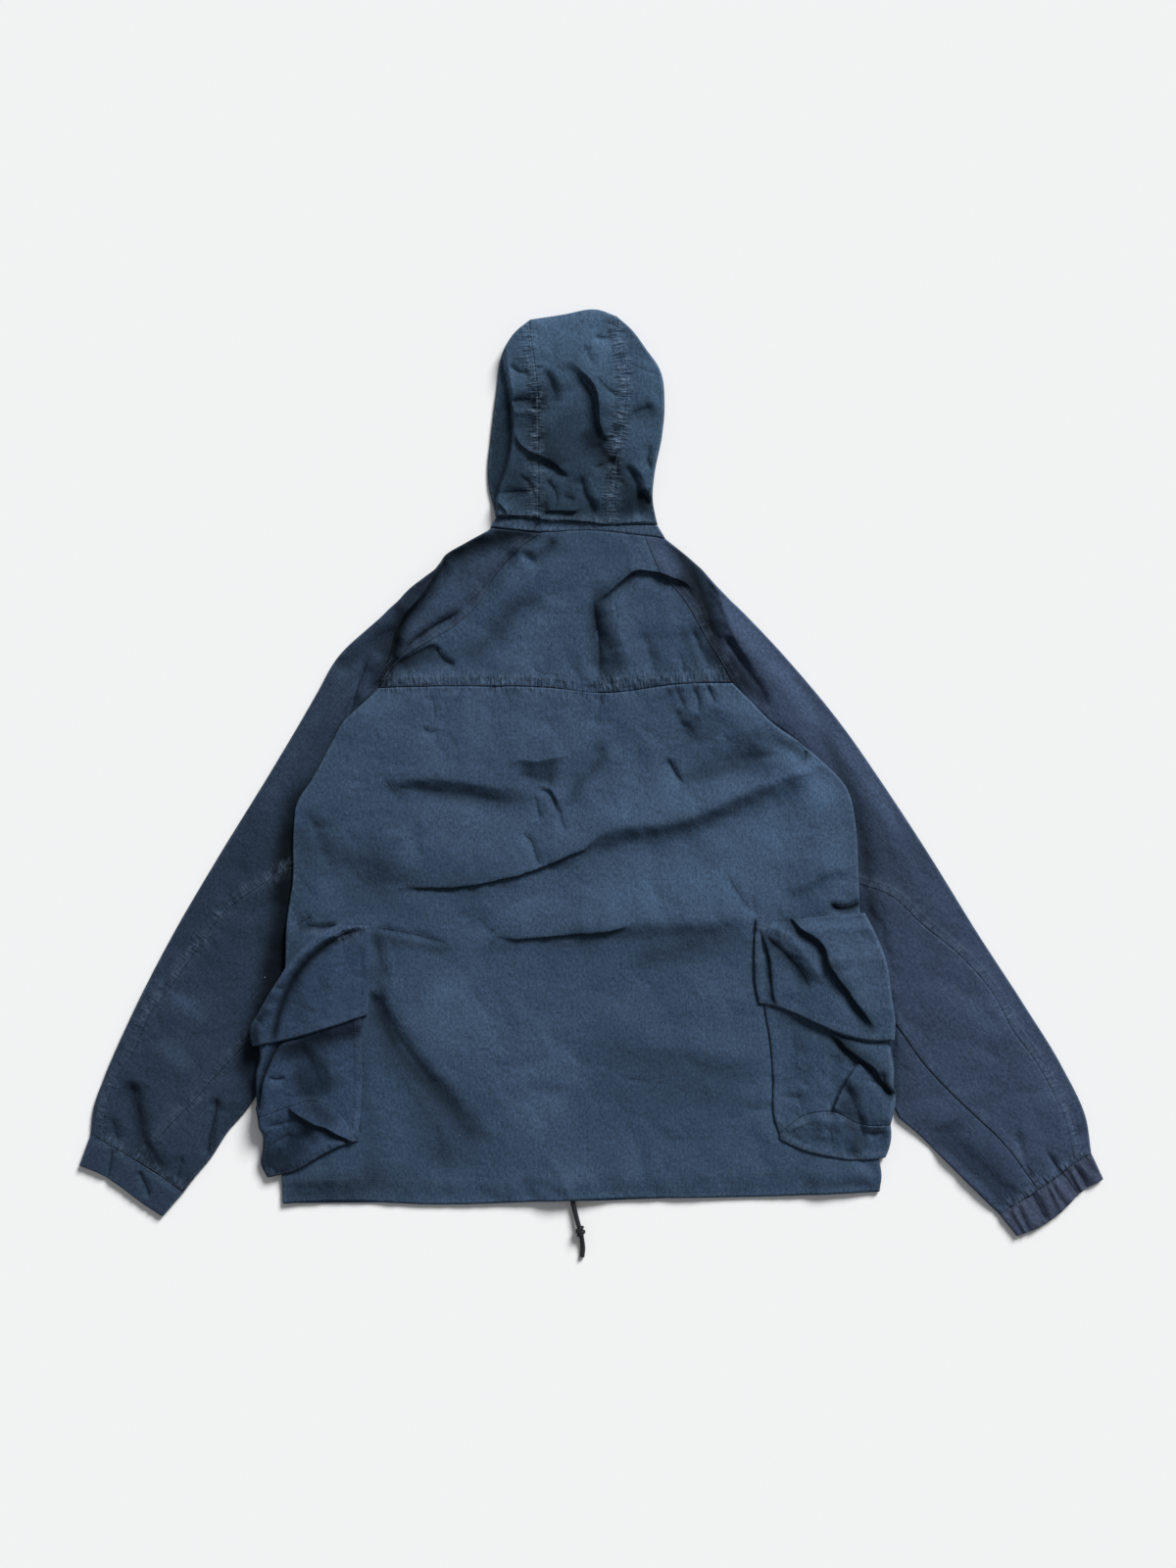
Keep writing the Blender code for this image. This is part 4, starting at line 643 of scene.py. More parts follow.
UPPER_SHADES = table_of("""
black gap of left shoulder: -0.5 9: -174,250 -202,201 -225,174 -234,148 -243,98;
under collar, left: -0.22 22: -188,240 -154,261 -119,273;
tick by neck: -0.3 8: -78,256 -62,256 -41,276;
along left raglan: -0.24 13: -85,273 -110,233 -154,187;
beside right raglan: -0.42 17: 111,263 129,212 145,166 166,125 196,77;
wedge: -0.25 12: -229,121 -200,139 -163,130;
long hollow: -0.3 15: -50,208 -94,189 -119,154 -158,130;
centre: -0.3 11: 3,210 11,171 19,139 19,95;
drag to centre: -0.26 9: 56,240 33,227 5,204;
right of centre: -0.14 14: 53,176 74,144 88,102;
beside back, left: -0.85 15: -315,10 -343,-47 -354,-105 -357,-174 -367,-231 -379,-277 -397,-312
    -397,-358;
beside back, right: -0.2 18: 283,15 318,-47 325,-128 341,-185;
left forearm: -0.3 14: -543,-351 -534,-397 -525,-443 -509,-482;
right forearm: -0.34 18: 397,-415 432,-450 471,-486 496,-519;
rubbed left elbow: 0.3 13: -492,-259 -469,-275 -450,-291;
rubbed left forearm: 0.22 12: -510,-312 -492,-330 -478,-353;
rubbed right elbow: 0.24 15: 438,-266 467,-277 495,-302;
rubbed right forearm: 0.16 12: 507,-335 525,-365 541,-394;
left shoulder, outside: -0.52 15: -43,283 -96,279 -142,268 -174,252 -202,224 -224,194 -232,160 -241,121
    -257,89;
left arm, from gap: -0.36 10: -308,121 -282,135 -252,155 -220,183;
along left raglan, low: -0.3 7: -229,135 -206,156 -181,176 -144,197;
under wedge: -0.28 8: -236,121 -213,129 -188,135 -154,125;
beside yoke, left: -0.3 8: -243,102 -278,68 -310,22 -335,-26 -349,-70;
beside body, left: -0.8 17: -328,-1 -349,-59 -358,-105 -363,-162 -370,-220 -379,-266;
beside left flap: -0.5 13: -363,-185 -377,-243 -390,-289 -404,-335 -397,-392;
right shoulder, black fold: -0.62 9: 81,289 99,268 113,247 125,224 133,197 139,169 145,144 162,114
    187,89;
beside body, right: -0.42 8: 256,77 281,31 302,-20 316,-70 325,-128 334,-197 346,-243;
outer edge, right: 0.3 11: 99,256 145,206 205,141 274,56 341,-33 381,-89;
outer edge, left: 0.14 9: -234,171 -303,102 -349,22 -395,-59;
centre, low: -0.32 7: -2,194 2,160 9,125 30,106 49,109;
right of middle: -0.3 7: 104,176 116,148 127,118 139,98;
middle of yoke: 0.2 26: -96,114 -62,171 -27,217;
right sleeve: -0.12 60: 341,-59 387,-151 433,-243;
left sleeve: -0.1 60: -395,-36 -430,-128 -476,-243;
low on left arm: -0.26 26: -522,-507 -464,-484 -418,-438 -400,-369;
below neck: -0.18 16: -62,273 -4,273 65,268;
left shoulder, by collar: -0.4 10: -50,289 -85,279 -131,273 -170,261 -200,236;
left gap: -0.55 7: -223,204 -229,176 -236,148 -242,114 -257,89;
right gap: -0.45 8: 99,240 118,217 132,185 148,160;
right gap, low: -0.5 8: 157,144 175,118 194,93 210,75;
left of neck: 0.18 14: -101,217 -85,240 -62,229;
sleeve beside body, high: -0.5 11: -342,-66 -358,-93 -363,-128 -365,-162;
black line of left shoulder: -0.68 3.4: -163,268 -188,230 -206,205 -224,179 -233,148 -243,116
    -259,89;
dark triangle of wedge: -0.4 8: -236,123 -220,132 -200,140 -177,144;
under right fold: -0.4 7: 70,236 93,227 111,217 127,210;
left of right fold: -0.26 8: 53,236 35,222 17,208 3,197;
right of centre crease: -0.3 8: 3,204 12,176 24,146 35,114;
between raglan and yoke, lit: 0.24 7: 132,160 155,130 175,102 198,75;
""")
# The hood's painted light: its crown is painted paler where it faces the light, its lower middle and sides
# darker as in shade.
HOOD_SHADES = table_of("""
crown, faded: 0.42 34: -96,503 -55,519 -4,516 42,498;
crown fold: -0.34 12: -36,486 -13,463 1,436 4,408 14,383;
lower middle: -0.36 38: -48,424 -29,390 -18,355 -20,298;
left side, lower: -0.36 28: -85,424 -80,367 -85,309;
strip right of left seam: -0.3 9: -52,470 -45,447 -48,424;
nape, right: -0.36 14: 19,358 47,351 56,328 60,300;
step, top: 0.35 8: -98,516 -101,503 -98,476 -96,445;
right edge, high: 0.25 12: 65,491 74,466 76,445 74,424;
band on right: -0.34 8: 10,427 28,421 51,420 83,429;
right of middle: -0.5 15: -6,411 10,383 26,355 42,332 63,300;
left of middle: -0.46 13: -48,466 -62,436 -66,406 -48,378 -25,353;
across left seam: -0.45 8: -108,429 -89,431 -68,435 -48,436;
low on left: -0.3 18: -112,353 -91,335 -64,323 -43,314;
over neck: -0.42 13: -73,319 -39,309 7,305 53,307;
lit edge, left: 0.3 7: -96,406 -85,388 -71,371;
patch, right of middle: -0.4 12: -13,406 3,388 21,371 37,358;
right edge, low: -0.45 9: 51,337 60,321 70,305 74,286;
lit, by nape: 0.3 6: -4,353 3,335 12,319 30,312;
lit, right edge: 0.3 6: 47,371 58,351 67,328;
lit, above middle: 0.25 8: -50,475 -34,466 -13,470 3,457;
""")
FLAP_LEFT_SHADES = table_of("""
whole flap: -0.12 150: -349,-243 -303,-243;
inside roll: -0.8 4.5: -262,-184 -310,-201 -344,-235 -364,-279 -374,-328;
crest of roll: 0.22 7: -292,-182 -342,-213 -377,-266 -393,-305;
outer edge, low: -0.5 13: -367,-224 -381,-256 -393,-289 -393,-325;
beside roll: -0.32 8: -292,-190 -315,-206 -340,-233 -351,-266;
""")
BAG_LEFT_SHADES = table_of("""
whole bag: -0.14 150: -349,-358 -303,-358;
hollow of bag: -0.4 17: -342,-312 -328,-346 -308,-381;
beside front edge: -0.5 7: -358,-309 -377,-339 -386,-376 -386,-415;
under bellows fold: -0.4 6: -354,-397 -328,-413 -301,-423 -273,-437;
wedge of gusset: -0.35 14: -324,-417 -349,-438 -374,-468;
under left flap: -0.34 9: -361,-325 -326,-314 -292,-305 -264,-293;
shadow of left flap: -0.5 12: -377,-328 -349,-319 -303,-308 -246,-293;
left of bellows fold: -0.36 10: -349,-346 -333,-371 -315,-397 -292,-411;
foot of bag, left: -0.5 18: -393,-427 -377,-454 -358,-473 -338,-480;
inner part, lit: 0.24 14: -292,-335 -278,-369 -271,-415;
""")
FLAP_RIGHT_SHADES = table_of("""
whole flap: 0.04 150: 226,-243 295,-243;
deep fold, its dark side: -0.52 9: 214,-158 240,-181 270,-206 283,-231 300,-259 318,-284 336,-312;
soft valley: -0.45 9: 198,-183 219,-206 240,-229 256,-254;
inner side, low: -0.5 4.5: 203,-199 209,-227 211,-252 214,-277;
""")
BAG_RIGHT_SHADES = table_of("""
under flap: -0.3 9: 208,-282 260,-300 318,-316;
eye beside fold: -0.6 7: 336,-344 346,-365 357,-381;
under upper fold: -0.35 8: 272,-300 306,-332 334,-358;
inner layer: -0.35 8: 297,-355 306,-383 318,-415;
beside upper fold: -0.5 9: 279,-305 306,-321 329,-335 344,-360 350,-390;
foot of inner layer: -0.45 10: 293,-378 304,-406 313,-434 302,-452;
""")

CUFF_CREASES = table_of("""
pleat of left cuff: -4 4 4 0 0.2: -564,-440 -566,-461 -571,-480;
second pleat of left cuff: -4 4 4 0 0.2: -533,-466 -526,-482 -519,-500;
deep pleat of right cuff: -6 5 6 0 0.15: 539,-452 555,-473 574,-498;
second pleat of right cuff: -4 4 5 0 0.2: 516,-491 525,-509 536,-528;
third pleat of right cuff: -3.6 4 4 0 0.2: 566,-459 576,-475 585,-491;
""")

# The inner edge of each sleeve, upwards, where the body or a pocket lies on it.
SLEEVE_EDGE_LEFT = np.vstack([TUCK_LEFT, HIDDEN_LEFT, INNER_LEFT[1:]])[::-1]
SLEEVE_EDGE_RIGHT = np.vstack([TUCK_RIGHT, HIDDEN_RIGHT, INNER_RIGHT[1:]])[::-1]
ARM_TOP = 98.0
ARM_FULL = 66.0
LIFT_MARGIN = 4.0
LIFT_FADE = 60.0
POCKET_TOP = -169.0
POCKET_FOOT = -489.0
POCKET_FADE = 14.0
LOFT = 4.0  # how far slack cloth stands off the layer below, away from its edges
LOFT_REACH = 34.0
TWO_LAYERS = 2.6  # the lowest that cloth lies on the layer below it
SOFT = 0.7
POCKET_SIDES = (-278.0, 237.0)  # how far in from the sides of the back the pockets reach
POCKET_SIDE_FADE = 28.0
COVER_FADE = 10.0
NECK_HEIGHT = 285.0
FLAP_LEFT_TOP = -181.0
FLAP_RIGHT_TOP = -171.0
FLAP_GAP = 1.4  # the lowest that a flap lies over its bag
BAG_SLACK = 0.6  # how far a crease can press a bag below where it lies flat


def across_at(y, edge):
    """Where an edge, given upwards, passes each height of the plan."""
    return np.interp(y, edge[:, 1], edge[:, 0])


def over_sleeve(x, y):
    """1 where a sleeve is tucked under, falling to 0 beside it."""
    begun = smoothstep((ARM_TOP - y) / (ARM_TOP - ARM_FULL))
    left, right = across_at(y, SLEEVE_EDGE_LEFT), across_at(y, SLEEVE_EDGE_RIGHT)
    from_left = 1.0 - smoothstep((x - left - LIFT_MARGIN) / LIFT_FADE)
    from_right = 1.0 - smoothstep((right - x - LIFT_MARGIN) / LIFT_FADE)
    return begun * np.maximum(from_left, from_right)


def over_pocket(x, y):
    """1 where the front half of a pocket runs under the front panel."""
    tall = smoothstep((POCKET_TOP - y) / POCKET_FADE) * smoothstep((y - POCKET_FOOT) / POCKET_FADE)
    left = smoothstep((POCKET_SIDES[0] - x) / POCKET_SIDE_FADE)
    right = smoothstep((x - POCKET_SIDES[1]) / POCKET_SIDE_FADE)
    return tall * np.maximum(left, right)


def over_placket(x, y):
    return 1.0 - smoothstep((np.abs(x) - PLACKET_HALF - 10.0) / 14.0)


def surface(x, y):
    return np.zeros(np.shape(x))


def sleeve_floor(x, y):
    """Under a pocket: the surface, or the sleeve tucked below."""
    return TUCKED * over_sleeve(x, y)


def front_floor(x, y):
    lift = TUCKED * over_sleeve(x, y) + POCKET_LIFT * over_pocket(x, y)
    return lift + PLACKET_LIFT * over_placket(x, y)


def above(z, low):
    """Height that settles softly on the layer below instead of sinking into it."""
    return low + SOFT * np.logaddexp(0.0, (z - low) / SOFT)


def small_creases(seed, count, low, high, along, spread, depth=0.9):
    """Rows of short faint creases scattered over a box, about one direction in degrees."""
    pick = np.random.default_rng(seed)
    rows = []
    for number in range(count):
        middle = pick.uniform(low, high)
        turn = math.radians(along + spread * pick.normal())
        length = pick.uniform(12.0, 46.0)
        way = np.array([math.cos(turn), math.sin(turn)])
        side = np.array([-way[1], way[0]]) * length * pick.uniform(-0.2, 0.2)
        points = [middle - way * length / 2, middle + side / 2, middle + way * length / 2 - side / 3]
        rise = depth * pick.uniform(0.35, 1.0) * pick.choice([-1.0, -1.0, 1.0])
        narrow, wide = pick.uniform(1.6, 3.0), pick.uniform(4.0, 11.0)
        left, right = (narrow, wide) if pick.random() < 0.5 else (wide, narrow)
        rows.append((f"small crease {number}", rise, left, right, 0, 0.35, points))
    return rows


def wrinkles(x, y):
    """Slack waves, and the facets and long creases of washed cotton."""
    waves = 1.9 * noise(x, y, 96.0, 1.0) + 0.8 * noise(x, y, 43.0, 2.0)
    bent_x = x + 14.0 * noise(x, y, 55.0, 14.0) + 4.0 * noise(x, y, 19.0, 16.0)
    bent_y = y + 14.0 * noise(x, y, 60.0, 15.0) + 4.0 * noise(x, y, 21.0, 17.0)
    patches = 0.3 + 0.7 * smoothstep(0.5 + 1.2 * noise(x, y, 120.0, 11.0))
    large = 2.3 * np.abs(noise(bent_x, bent_y, 62.0, 21.0))
    middle = 1.5 * np.abs(noise(bent_x, bent_y, 30.0, 31.0))
    small = 0.65 * np.abs(noise(bent_x, bent_y, 13.0, 41.0))
    return waves + large + patches * (middle + small) - 0.9


def body_loft(x, y):
    inside = np.minimum(beside(x, y, SIDE_LEFT)[0], -beside(x, y, SIDE_RIGHT)[0])
    inside = np.minimum(inside, beside(x, y, HEM)[0])
    return LOFT * smoothstep(inside / LOFT_REACH)


def upper_loft(x, y):
    inside = np.minimum(beside(x, y, OUTER_LEFT)[0], -beside(x, y, OUTER_RIGHT)[0])
    inner_edges = (TUCK_LEFT, TUCK_RIGHT, HIDDEN_LEFT, HIDDEN_RIGHT, INNER_LEFT, INNER_RIGHT)
    for edge in (*inner_edges, CUFF_SEAM_LEFT, CUFF_SEAM_RIGHT):
        inside = np.minimum(inside, np.abs(beside(x, y, edge)[0]))
    neck = smoothstep((NECK_HEIGHT - y) / 24.0)
    return LOFT * smoothstep(inside / LOFT_REACH) * neck


CORD_EXIT = (-25, -503)

# What covers each sleeve: the side of the body, then the edge of the pocket.
COVER_LEFT = through(
    "-250,100 -292,59 -328,-7 -350,-70 -357,-168 -375,-260 -398,-306 -393,-371 -386,-473"
)
COVER_RIGHT = through("166,107 209,62 272,13 310,-59 315,-156 344,-214 356,-289 357,-381 347,-455")


def uncovered(x, y):
    """1 on the open part of a sleeve, 0 where the body or a pocket lies on it."""
    left, right = (across_at(y, np.array(cover[::-1])) for cover in (COVER_LEFT, COVER_RIGHT))
    open_left = smoothstep((left - x + COVER_FADE / 2) / COVER_FADE)
    open_right = smoothstep((x - right + COVER_FADE / 2) / COVER_FADE)
    over = smoothstep((y - ARM_TOP) / 16.0)
    return np.maximum(over, np.where(x < 0.0, open_left, open_right))


# The hood's left side lies in two steps: its lower layer shows past the upper one.
HOOD_STEP = through("-114,301 -110,332 -101,358 -94,396 -96,447 -101,503 -85,524")


SHADE_END = 0.16  # share of its length over which a shade fades in and out
SHADE_STRENGTH = 1.3
DARKEST = -0.88


def shaded(x, y, table):
    """How bright the painted shade and light make the cloth at each place: 1, changed along the rows of a
    table.
    """
    tone = np.ones(np.size(x))
    for _, change, reach, points in table:
        found = Beside(x, y, points, 2.2 * reach)
        ends = smoothstep(found.share / SHADE_END) * smoothstep((1.0 - found.share) / SHADE_END)
        change = max(DARKEST, SHADE_STRENGTH * change)
        tone[found.near] *= 1.0 + change * ends * np.exp(-((found.away / reach) ** 2))
    return tone.reshape(np.shape(x))


class Lie:
    """Where a piece of cloth lies: its height, how far creases carry it sideways, its wear, and its
    painted shade and light.
    """

    def __init__(self, x, y, base, low, creases=(), seams=(), weight=1.0, waves=1.0, shades=()):
        relief = Relief(x, y)
        relief.creases(creases, weight if np.ndim(weight) == 0 else np.ravel(weight))
        relief.seams(seams)
        z, self.plan = relief.result()
        self.z = above(base + z + waves * wrinkles(x, y), low)
        self.wear = relief.wear.reshape(np.shape(x))
        self.gathers = relief.gathers.reshape(*np.shape(x), 3)
        self.painted_fold_light = relief.painted_fold_light.reshape(*np.shape(x), 3)
        self.tone = shaded(x, y, shades)


BODY_SMALL = small_creases(3, 120, (-380, -500), (340, 90), 15.0, 50.0)
BODY_SMALL += small_creases(4, 26, (-250, 40), (170, 98), 80.0, 22.0)
UPPER_SMALL = small_creases(5, 60, (-260, 100), (180, 280), 60.0, 45.0)
UPPER_SMALL += small_creases(6, 46, (-590, -440), (-330, 110), 55.0, 40.0)
UPPER_SMALL += small_creases(7, 46, (300, -460), (590, 110), 120.0, 40.0)
HOOD_SMALL = small_creases(8, 34, (-120, 300), (90, 540), 80.0, 50.0)


def body_lie(x, y):
    lift = SIDE_LIFT * over_sleeve(x, y) + POCKET_LIFT * over_pocket(x, y)
    cord = np.exp(-(((x - CORD_EXIT[0]) / 34.0) ** 2) - ((y - CORD_EXIT[1]) / 50.0) ** 2)
    base = REST + lift + body_loft(x, y) + 5.0 * cord
    low = front_floor(x, y) + TWO_LAYERS
    return Lie(x, y, base, low, BODY_CREASES + BODY_SMALL, BODY_SEAMS, shades=BODY_SHADES)


def upper_lie(x, y):
    """The yoke and both sleeves, which share their creases across the raglan seams."""
    shown = uncovered(x, y)
    base = REST + upper_loft(x, y) - 2.0 * (1.0 - shown)
    creases = UPPER_CREASES + UPPER_SMALL
    low = TWO_LAYERS + 0.0 * x
    lie = Lie(x, y, base, low, creases, UPPER_SEAMS, shown, shown, UPPER_SHADES)
    # Painted shade: the sleeve is coloured darker further to the left, as the light comes from the right.
    lie.tone = lie.tone * (1.0 - 0.34 * smoothstep((-200.0 - x) / 130.0))
    return lie


def hood_lie(x, y):
    step, _ = beside(x, y, HOOD_STEP)
    dome = smoothstep((y - HOOD_JOINT[0][1] + 2.0) / 26.0)
    upper = smoothstep((2.0 - step) / 5.0)
    crown = smoothstep((y - 367.0) / 150.0)
    base = REST - 1.4 * (1.0 - upper) * dome + upper * dome * (7.5 + 5.0 * crown)
    low = TWO_LAYERS + 1.2 * upper * dome
    creases, waves = HOOD_CREASES + HOOD_SMALL, 0.4 + 0.5 * upper
    lie = Lie(x, y, base, low, creases, HOOD_SEAMS, upper, waves, HOOD_SHADES)
    # Painted shade: the hood's lower layer, in the shadow of the upper one, is coloured darker below the
    # crown.
    lie.tone = lie.tone * (1.0 - 0.6 * (1.0 - upper) * smoothstep((480.0 - y) / 60.0))
    return lie


def neck_lie(x, y):
    return Lie(x, y, REST + 0.6 + 0.0 * x, TWO_LAYERS + 0.0 * x, (), NECK_SEAMS, waves=0.3)


def cuff_lie(x, y):
    """Gathers of the cuffs: uneven raised waves that start at the sleeve."""
    side = np.where(x < 0.0, -1.0, 1.0)
    across = 0.86 * x + side * 0.5 * y
    from_seam = np.minimum(
        np.abs(beside(x, y, CUFF_SEAM_LEFT)[0]), np.abs(beside(x, y, CUFF_SEAM_RIGHT)[0])
    )
    phase = across / 1.9 + 3.2 * noise(across, 0.3 * from_seam, 15.0, 4.0)
    strength = 0.5 + 1.4 * np.abs(noise(across, 0.0 * x, 21.0, 9.0))
    depth = np.where(x < 0.0, 0.35, 0.9)
    gathers = depth * np.sin(phase) * strength * smoothstep(from_seam / 5.0)
    base = REST + 1.4 * smoothstep(from_seam / 9.0) + gathers
    lie = Lie(x, y, base, TWO_LAYERS + 0.0 * x, CUFF_CREASES, UPPER_SEAMS[-2:], waves=0.3)
    # Painted shade: the left cuff is coloured darker, as the left side lies away from the light.
    lie.tone = np.where(x < 0.0, 0.68, 1.0)
    lie.wear = lie.wear + 0.5 * smoothstep((gathers - 0.6) / 0.8)
    return lie


def pocket_puff(x, y, seam, edge, top, foot):
    """How far a pocket stands off the back: nothing at its seam, most by its edge."""
    across = smoothstep((x - seam) / (edge - seam))
    tall = smoothstep((top - y) / 40.0) * smoothstep((y - foot) / 45.0)
    return 6.5 * across * tall


def below(x, y, foot):
    """0 above the foot of a flap and 1 well below it."""
    above_foot, _ = beside(x, y, foot)
    return smoothstep((-above_foot - 1.0) / 8.0)


def on_back(x, y):
    """The height of a flat pocket on the back panel, and how far it stands off there."""
    if np.mean(x) < 0.0:
        puff = pocket_puff(x, y, -271.0, -349.0, -185.0, -478.0)
    else:
        puff = pocket_puff(x, y, 212.0, 295.0, -185.0, -457.0)
    return body_lie(x, y).z + ON_TOP - 0.5, puff


def bag_lie(x, y, creases, seams, foot, shades):
    flat, puff = on_back(x, y)
    weight = below(x, y, foot)
    return Lie(x, y, flat + puff, flat - BAG_SLACK, creases, seams, weight, 0.4, shades)


def bag_left_lie(x, y):
    return bag_lie(x, y, BAG_LEFT_CREASES, BAG_LEFT_SEAMS, FLAP_LEFT_FOOT, BAG_LEFT_SHADES)


def bag_right_lie(x, y):
    return bag_lie(x, y, BAG_RIGHT_CREASES, BAG_RIGHT_SEAMS, FLAP_RIGHT_FOOT, BAG_RIGHT_SHADES)


def flap_lie(x, y, creases, seams, side, top, shades):
    flat, puff = on_back(x, y)
    inside = np.abs(beside(x, y, side)[0])
    rise = (1.5 + 1.9 * smoothstep(inside / 22.0)) * smoothstep((top - y) / 12.0)
    low = flat + puff
    return Lie(x, y, low + rise, low + FLAP_GAP, creases, seams, 1.0, 0.4, shades)


def flap_left_lie(x, y):
    tables = FLAP_LEFT_CREASES, FLAP_LEFT_SEAMS, FLAP_LEFT_SIDE, FLAP_LEFT_TOP, FLAP_LEFT_SHADES
    return flap_lie(x, y, *tables)


def flap_right_lie(x, y):
    tables = FLAP_RIGHT_CREASES, FLAP_RIGHT_SEAMS, FLAP_RIGHT_SIDE, FLAP_RIGHT_TOP, FLAP_RIGHT_SHADES
    return flap_lie(x, y, *tables)


def under_lie(floor):
    """A front piece, underneath: flat where it rests, with shallow waves that lift off."""

    def lie(x, y):
        waves = 0.9 * np.maximum(0.0, noise(x, y, 45.0, 3.0) - 0.1)
        made = Lie(x, y, floor(x, y), floor(x, y) - 9.0, waves=0.0)
        made.z = floor(x, y) + waves * smoothstep(noise(x, y, 110.0, 6.0) + 0.6)
        return made

    return lie


def flat_lie(x, y):
    return Lie(x, y, surface(x, y), surface(x, y) - 9.0, waves=0.0)


# Finishes.


def tint(red, green, blue):
    """A colour as a picture editor gives it, as the linear colour that a shader takes."""
    shares = np.array([red, green, blue]) / 255.0
    linear = np.where(shares <= 0.04045, shares / 12.92, ((shares + 0.055) / 1.055) ** 2.4)
    return (*linear, 1.0)


def new_material(name):
    material = bpy.data.materials.new(name)
    material.use_nodes = True
    return material, material.node_tree, material.node_tree.nodes["Principled BSDF"]


def add_node(tree, kind, inputs=None, **settings):
    """A shader node with its settings, and its inputs by name as values or links."""
    made = tree.nodes.new(kind)
    for name, value in settings.items():
        setattr(made, name, value)
    for name, value in (inputs or {}).items():
        if isinstance(value, bpy.types.NodeSocket):
            tree.links.new(value, made.inputs[name])
        else:
            made.inputs[name].default_value = value
    return made


def math_node(tree, operation, *values, clamp=False):
    inputs = dict(enumerate(values))
    return add_node(tree, "ShaderNodeMath", inputs, operation=operation, use_clamp=clamp).outputs[0]


def blend(tree, share, first, second):
    """The first colour, with this share of the second mixed in."""
    inputs = {0: share, 6: first, 7: second}
    return add_node(tree, "ShaderNodeMix", inputs, data_type="RGBA").outputs[2]


def noise_node(tree, place, scale, detail=2.0, stretch=(1.0, 1.0, 1.0), rough=0.5):
    """Unevenness about 0.5 at this many lumps a metre, stretched along an axis."""
    mapped = add_node(tree, "ShaderNodeMapping", {"Vector": place, "Scale": stretch})
    inputs = {"Vector": mapped.outputs[0], "Scale": scale, "Detail": detail, "Roughness": rough}
    return add_node(tree, "ShaderNodeTexNoise", inputs).outputs["Fac"]


def step_node(tree, value, low, high, start=0.0, end=1.0):
    """A soft step from start to end as the value passes from low to high."""
    inputs = {"Value": value, "From Min": low, "From Max": high, "To Min": start, "To Max": end}
    return add_node(tree, "ShaderNodeMapRange", inputs, interpolation_type="SMOOTHSTEP").outputs[0]


def new_group(name, inputs, outputs):
    group = bpy.data.node_groups.new(name, "ShaderNodeTree")
    for socket, kind, value in inputs:
        made = group.interface.new_socket(socket, in_out="INPUT", socket_type=kind)
        made.default_value = value
    for socket, kind in outputs:
        group.interface.new_socket(socket, in_out="OUTPUT", socket_type=kind)
    return group, group.nodes.new("NodeGroupInput"), group.nodes.new("NodeGroupOutput")


THREADS = 420.0  # scale of the weave
LINT_SCALE = 26.0
LINT_SIZE = 0.016
LINT_RARITY = 0.9
LINT_TINT = tint(112, 124, 140)
# Painted shadow: how much darker the cloth is coloured beside a sharp fold.
FOLD_DARKNESS = -0.85
LIP_GLOW = 0.2  # painted highlight: how much the cloth brightens on the lit side of a sharp fold


